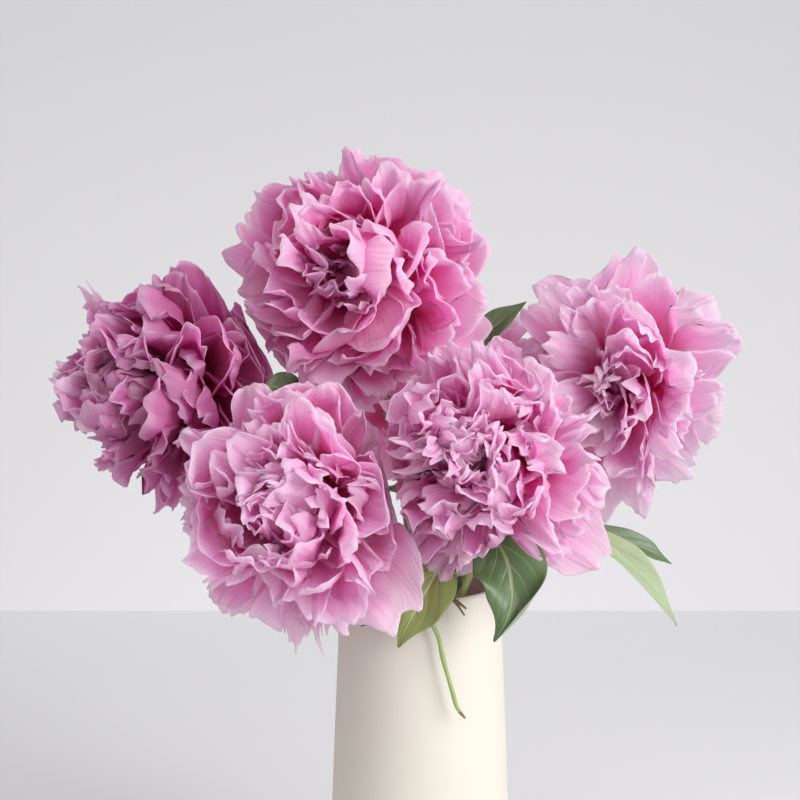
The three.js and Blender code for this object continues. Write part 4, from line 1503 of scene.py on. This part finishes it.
@dataclass
class Leaf:
    """One leaf: a stalk and a pointed blade that folds along its midrib and waves at its margin.

    stem names the bloom whose stem carries the leaf, and height is where the stalk leaves it. hem is how
    far the left and right margins roll up, in degrees, and belly moves the widest part towards the foot
    (below 1) or the tip. acumen is how much the last third is drawn out to a point.
    """

    name: str
    stem: str
    height: float
    foot: Point
    crown: Point
    tip: Point
    up: Point
    half: float
    fold: float
    belly: float = 0.72
    hem: tuple[float, float] = (0.0, 0.0)
    tone: LeafTone = LeafTone.DARK
    wave: float = 0.06
    acumen: float = 0.45
    ripple: float = 0.06
    pleat: float = 0.03
    seed: int = 1
    stalk_radius: float = 0.0015
    thickness: float = 0.0006
    rows: int = 45
    columns: int = 25

    def root(self) -> Array:
        """Find the point of the stem that the leaf's stalk leaves."""
        bloom = next(bloom for bloom in BLOOMS if bloom.name == self.stem)
        line = Stem(bloom).line()
        return line[np.argmax(line[:, 2] >= self.height)]

    def _section(self, s: Array, w: Array) -> tuple[Array, Array]:
        """Work out the blade's cross-section: how far out and up each place is, in half widths.

        From the midrib outwards the surface climbs at the fold's angle, and the margin's angle grows by
        the hem. The two are the running sums of the angle's cosine and sine.
        """
        away = np.abs(w)
        hem = np.radians(np.where(w < 0, self.hem[0], self.hem[1])) * smooth_step(0.35, 0.75, s)
        climb = np.arctan(self.fold) * smooth_step(0.0, 0.1, away)
        angle = climb + hem * smooth_step(0.3, 1.0, away)
        middle = self.columns // 2
        step = 1 / middle
        between = 0.5 * (angle[:, 1:] + angle[:, :-1]) * np.sign(w[:, 1:] + w[:, :-1])
        out = np.concatenate([np.zeros((len(s), 1)), np.cumsum(np.cos(between) * step, axis=1)], axis=1)
        rise = np.concatenate([np.zeros((len(s), 1)), np.cumsum(np.sin(between) * step, axis=1)], axis=1)
        return out - out[:, middle : middle + 1], rise - rise[:, middle : middle + 1]

    def _blade(self) -> tuple[Array, Array, Array]:
        """Work out the blade's middle surface.

        The midrib is the quadratic curve of foot, crown and tip. The half width rises fast and tapers to
        the tip. The two sides follow the cross-section, sink a little beside each side vein, and the
        margin waves more than the middle.
        """
        foot, crown, tip = (np.array(p)[None] for p in (self.foot, self.crown, self.tip))
        s = np.linspace(0, 1, self.rows)[:, None]
        rib = (1 - s) ** 2 * foot + 2 * s * (1 - s) * crown + s**2 * tip
        along = unit(2 * (1 - s) * (crown - foot) + 2 * s * (tip - crown))
        across = unit(np.cross(along, unit(np.array(self.up))[None]))
        face = np.cross(across, along)
        w = np.linspace(-1, 1, self.columns)[None, :]
        swell = np.sin(np.pi * s**self.belly) ** 0.85
        pointed = 1 - self.acumen * smooth_step(0.66, 1.0, s)
        width = self.half * (0.06 + 0.94 * swell) * pointed * (1 + 0.03 * np.sin(17 * s + self.seed))
        out, rise = self._section(s, w)
        slant = s - VEIN_SLANT * np.abs(w)
        pleat = self.pleat * np.cos(VEINS * TAU * slant) * (1 - np.abs(w)) * np.abs(w)
        phase = self.seed * 1.7 + np.where(w > 0, 2.1, 0.0)
        ripple = self.wave * np.sin(9 * s + 3 * w) + self.ripple * np.abs(w) ** 2 * np.sin(19 * s + phase)
        lift = rise * width + self.half * (ripple * swell + pleat)
        blade = rib[:, None] + (out * width)[..., None] * across[:, None] + lift[..., None] * face[:, None]
        return blade, np.broadcast_to(0.5 * w + 0.5, blade.shape[:2]), np.broadcast_to(s, blade.shape[:2])

    def build(self, palette: Palette) -> bpy.types.Object:
        """Build the leaf as one piece that replaces its solid."""
        parts = MeshParts()
        blade, u, v = self._blade()
        add_blades(parts, blade[None], self.thickness, u[None], v[None], np.array([0.0]), under=1.0)
        root, foot = self.root(), np.array(self.foot)
        into = foot + 0.12 * (np.array(self.crown) - foot)
        stalk = spline(np.stack([root, root + 0.55 * (foot - root), foot, into]), 24)
        add_rod(parts, stalk, self.stalk_radius * np.linspace(1.15, 0.55, len(stalk)), 10, slot=1)
        piece = parts.build("blade_" + self.name, [palette[self.tone.value], palette["stem"]])
        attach(piece, BODY)
        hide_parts("leaf_" + self.name)
        return piece


LEAVES = (
    Leaf(
        "front_left", stem="front_right", height=0.238, up=(-0.2, -1, 0.4),
        foot=(0.017, -0.044, 0.246), crown=(0.005, -0.065, 0.239), tip=(-0.013, -0.058, 0.196),
        half=0.017, fold=0.22, belly=1.1, tone=LeafTone.LIGHT, seed=1,
    ),
    Leaf(
        "front_right", stem="front_right", height=0.262, up=(0.15, -1, 0.35),
        foot=(0.038, -0.050, 0.260), crown=(0.062, -0.082, 0.238), tip=(0.040, -0.079, 0.205),
        half=0.0205, fold=0.12, belly=0.60, hem=(150, 0), wave=0.10, seed=2,
    ),
    Leaf(
        "right_pale", stem="right", height=0.250, up=(0.35, -0.75, 0.7),
        foot=(0.091, -0.020, 0.256), crown=(0.123, -0.038, 0.247), tip=(0.147, -0.034, 0.202),
        half=0.0092, fold=0.35, belly=0.9, tone=LeafTone.SAGE, wave=0.12, seed=3,
    ),
    Leaf(
        "right_dark", stem="right", height=0.262, up=(0.3, -0.7, 0.7),
        foot=(0.099, -0.008, 0.256), crown=(0.127, -0.012, 0.245), tip=(0.147, -0.002, 0.231),
        half=0.007, fold=0.4, belly=1.0, seed=4,
    ),
    Leaf(
        "upper", stem="top", height=0.322, up=(-0.45, -0.85, 0.3),
        foot=(0.027, 0.031, 0.354), crown=(0.046, 0.024, 0.370), tip=(0.062, 0.020, 0.383),
        half=0.009, fold=0.45, seed=5,
    ),
    Leaf(
        "inner_left", stem="left", height=0.296, up=(0, -1, 0.4),
        foot=(-0.076, 0.014, 0.320), crown=(-0.078, 0.000, 0.340), tip=(-0.091, -0.008, 0.336),
        half=0.011, fold=0.25, belly=0.8, seed=6,
    ),
    Leaf(
        "low_left", stem="front_left", height=0.226, up=(-0.2, -1, 0.5),
        foot=(-0.009, -0.036, 0.228), crown=(-0.020, -0.065, 0.221), tip=(-0.034, -0.058, 0.208),
        half=0.007, fold=0.3, seed=7,
    ),
    Leaf(
        "mouth", stem="front_right", height=0.226, up=(0, -1, 0.6),
        foot=(0.018, -0.037, 0.235), crown=(0.015, -0.055, 0.230), tip=(0.008, -0.052, 0.214),
        half=0.008, fold=0.3, seed=8,
    ),
    Leaf(
        "back_left", stem="back", height=0.240, up=(-0.3, 0.5, 1),
        foot=(-0.014, 0.058, 0.262), crown=(-0.038, 0.088, 0.262), tip=(-0.058, 0.104, 0.232),
        half=0.015, fold=0.3, seed=9,
    ),
    Leaf(
        "back_right", stem="back", height=0.246, up=(0.4, 0.5, 1),
        foot=(0.036, 0.060, 0.258), crown=(0.060, 0.084, 0.252), tip=(0.076, 0.096, 0.220),
        half=0.015, fold=0.3, seed=10,
    ),
    Leaf(
        "far_left", stem="left", height=0.268, up=(-0.4, 0.3, 1),
        foot=(-0.096, 0.046, 0.280), crown=(-0.124, 0.056, 0.272), tip=(-0.146, 0.058, 0.244),
        half=0.014, fold=0.3, seed=11,
    ),
    Leaf(
        "far_right", stem="right", height=0.280, up=(0.4, 0.5, 1),
        foot=(0.106, 0.058, 0.284), crown=(0.122, 0.080, 0.276), tip=(0.132, 0.096, 0.248),
        half=0.014, fold=0.3, seed=12,
    ),
)


# ---- Vase and water ------------------------------------------------------------------------------


@dataclass
class Vase:
    """A tall, slightly tapered stoneware vase with a rounded lip and foot."""

    height: float = 0.220
    base_radius: float = 0.056
    rim_radius: float = 0.047
    wall: float = 0.0046
    floor: float = 0.007
    foot: float = 0.0025
    segments: int = 120

    def _outline(self) -> Array:
        """Draw the wall's outline: base, rounded foot, straight taper, half-round lip, inside and floor."""
        lip, corner = self.wall / 2, 2 * self.foot
        slope = (self.base_radius - self.rim_radius) / self.height
        inner_floor = self.base_radius - self.wall - slope * self.floor

        def arc(radius: float, height: float, size: float, angle: Array) -> Array:
            """Draw an arc about the point at a radius and height."""
            return np.stack([radius + size * np.cos(angle), height + size * np.sin(angle)], -1)

        quarter = np.linspace(-np.pi / 2, 0, 9)
        foot = arc(self.base_radius - self.foot, self.foot, self.foot, quarter)
        rise = np.linspace(self.foot, self.height - lip, 16)[1:-1]
        outside = np.stack([self.base_radius - slope * rise, rise], -1)
        top = arc(self.rim_radius - lip, self.height - lip, lip, np.linspace(0, np.pi, 15))
        inside = (outside - np.array([self.wall, 0]))[::-1]
        inside = inside[inside[:, 1] > self.floor + corner]
        bend = arc(inner_floor - corner, self.floor + corner, corner, quarter[::-1])
        return np.concatenate([[[0, 0]], foot, outside, top, inside, bend, [[0, self.floor]]])

    def build(self, palette: Palette) -> bpy.types.Object:
        """Build the vase as one piece that replaces its solid."""
        parts = MeshParts()
        add_turned(parts, self._outline(), self.segments, lambda points: points, 0.5)
        piece = parts.build("vase_body", [palette["stoneware"]])
        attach(piece, BODY)
        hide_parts("vase")
        return piece


def dress_water(palette: Palette) -> None:
    """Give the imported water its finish. Its shape stays as it is."""
    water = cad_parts["water"]
    water.data.materials.clear()
    water.data.materials.append(palette["water"])


# ---- The studio ----------------------------------------------------------------------------------


@dataclass(frozen=True)
class Lamp:
    """One soft square lamp: where it hangs, its width, its power and how wide it shines, in degrees."""

    name: str
    place: Point
    size: float
    power: float
    spread: float

    def build(self, target: Point) -> None:
        """Hang the lamp so that it looks at the target."""
        light = bpy.data.lights.new(self.name, "AREA")
        light.size = self.size
        light.energy = self.power
        light.spread = np.radians(self.spread)
        aim(bpy.data.objects.new(self.name, light), self.place, target)


def aim(thing: bpy.types.Object, place: Point, target: Point) -> None:
    """Link a lamp or camera, put it in its place and turn it to look at the target."""
    bpy.context.scene.collection.objects.link(thing)
    thing.location = place
    thing.rotation_euler = (Vector(target) - Vector(place)).to_track_quat("-Z", "Y").to_euler()


@dataclass
class Studio:
    """A pale floor and wall, soft light from the right, and the camera.

    The floor runs from near in front of the vase to the wall at far, and both are wide to either side.
    The wall goes from its low to its high colour over the fade height: painted light, brighter low down.
    """

    target: Point = (-0.012, 0.0, 0.328)
    eye: Point = (-0.012, -1.28399, 0.53136)
    lens: float = 100.86
    sensor: float = 36.0
    wide: float = 3.0
    near: float = -2.4
    far: float = 0.79
    tall: float = 2.6
    # Painted light on the wall: brighter near the floor, darker higher up.
    wall_low: Colour = (0.732, 0.728, 0.752)
    wall_shaded_high: Colour = (0.566, 0.566, 0.58)
    floor_grey: Colour = (0.676, 0.676, 0.69)
    roughness: float = 0.9
    light_fade_height: float = 0.55
    lamps: tuple[Lamp, ...] = (
        Lamp("window", (1.06, -0.88, 0.84), size=0.9, power=7.3, spread=90.0),
        Lamp("sky", (0.1, -0.5, 2.0), size=1.6, power=5.4, spread=180.0),
    )
    air: Colour = (1.0, 0.985, 0.97)
    air_strength: float = 0.735
    bounces: int = 24
    gamma: float = 1.12

    def _plain(self, name: str, low: Colour, high: Colour) -> bpy.types.Material:
        """Build a plain matt material that changes slowly from the floor up, as painted light, clear from
        behind.
        """
        made, canvas = NodeCanvas.material(name)
        height = canvas.node("SeparateXYZ", {0: canvas.node("TexCoord").outputs["Object"]}).outputs[2]
        # Painted light: the colour fades from the lit low colour to the darker high one.
        colour = canvas.mix(canvas.remap(height, 0.0, self.light_fade_height, 0.0, 1.0), (*low, 1), (*high, 1))
        solid = canvas.node("BsdfPrincipled", {"Base Color": colour, "Roughness": self.roughness})
        behind = canvas.node("NewGeometry").outputs["Backfacing"]
        clear = canvas.node("BsdfTransparent")
        canvas.finish(canvas.node("MixShader", {0: behind, 1: solid.outputs[0], 2: clear.outputs[0]}))
        return made

    def _sheet(self, name: str, start: Place, end: Place, low: Colour, high: Colour) -> None:
        """Lay one flat backdrop between two level edges, each given by its y and z."""
        wide = self.wide
        corners = [(-wide, *start), (wide, *start), (wide, *end), (-wide, *end)]
        mesh = bpy.data.meshes.new(name)
        mesh.from_pydata(corners, [], [(0, 1, 2, 3)])
        sheet = bpy.data.objects.new(name, mesh)
        bpy.context.scene.collection.objects.link(sheet)
        mesh.materials.append(self._plain(name, low, high))

    def build(self) -> None:
        """Set up the stage, the lamps, the air around them and the camera."""
        near, corner, top = (self.near, 0.0), (self.far, 0.0), (self.far, self.tall)
        self._sheet("floor", near, corner, self.floor_grey, self.floor_grey)
        self._sheet("wall", corner, top, self.wall_low, self.wall_shaded_high)
        for lamp in self.lamps:
            lamp.build(self.target)
        scene = bpy.context.scene
        scene.world = bpy.data.worlds.new("studio")
        scene.world.use_nodes = True
        air = scene.world.node_tree.nodes["Background"]
        air.inputs["Color"].default_value = (*self.air, 1)
        air.inputs["Strength"].default_value = self.air_strength
        scene.view_settings.view_transform = "Standard"
        scene.view_settings.gamma = self.gamma
        scene.cycles.max_bounces = self.bounces
        scene.cycles.diffuse_bounces = self.bounces
        scene.cycles.transmission_bounces = self.bounces
        lens = bpy.data.cameras.new("camera")
        lens.lens = self.lens
        lens.sensor_width = self.sensor
        camera = bpy.data.objects.new("camera", lens)
        aim(camera, self.eye, self.target)
        scene.camera = camera


def report(piece: bpy.types.Object) -> None:
    """Log a piece's name and how many triangles it has."""
    sizes = np.zeros(len(piece.data.polygons), np.int32)
    piece.data.polygons.foreach_get("loop_total", sizes)
    log.info("%s: %d triangles", piece.name, int((sizes - 2).sum()))


def main() -> None:
    """Build the studio and every piece of the bouquet."""
    logging.basicConfig(level=logging.INFO, format="%(message)s")
    Studio().build()
    palette = mixed_palette()
    report(Vase().build(palette))
    dress_water(palette)
    for bloom in BLOOMS:
        report(Stem(bloom).build(palette))
        report(bloom.build(palette, BLOOMS))
    report(BareStalk().build(palette))
    for leaf in LEAVES:
        report(leaf.build(palette))


if __name__ == "__main__":
    main()
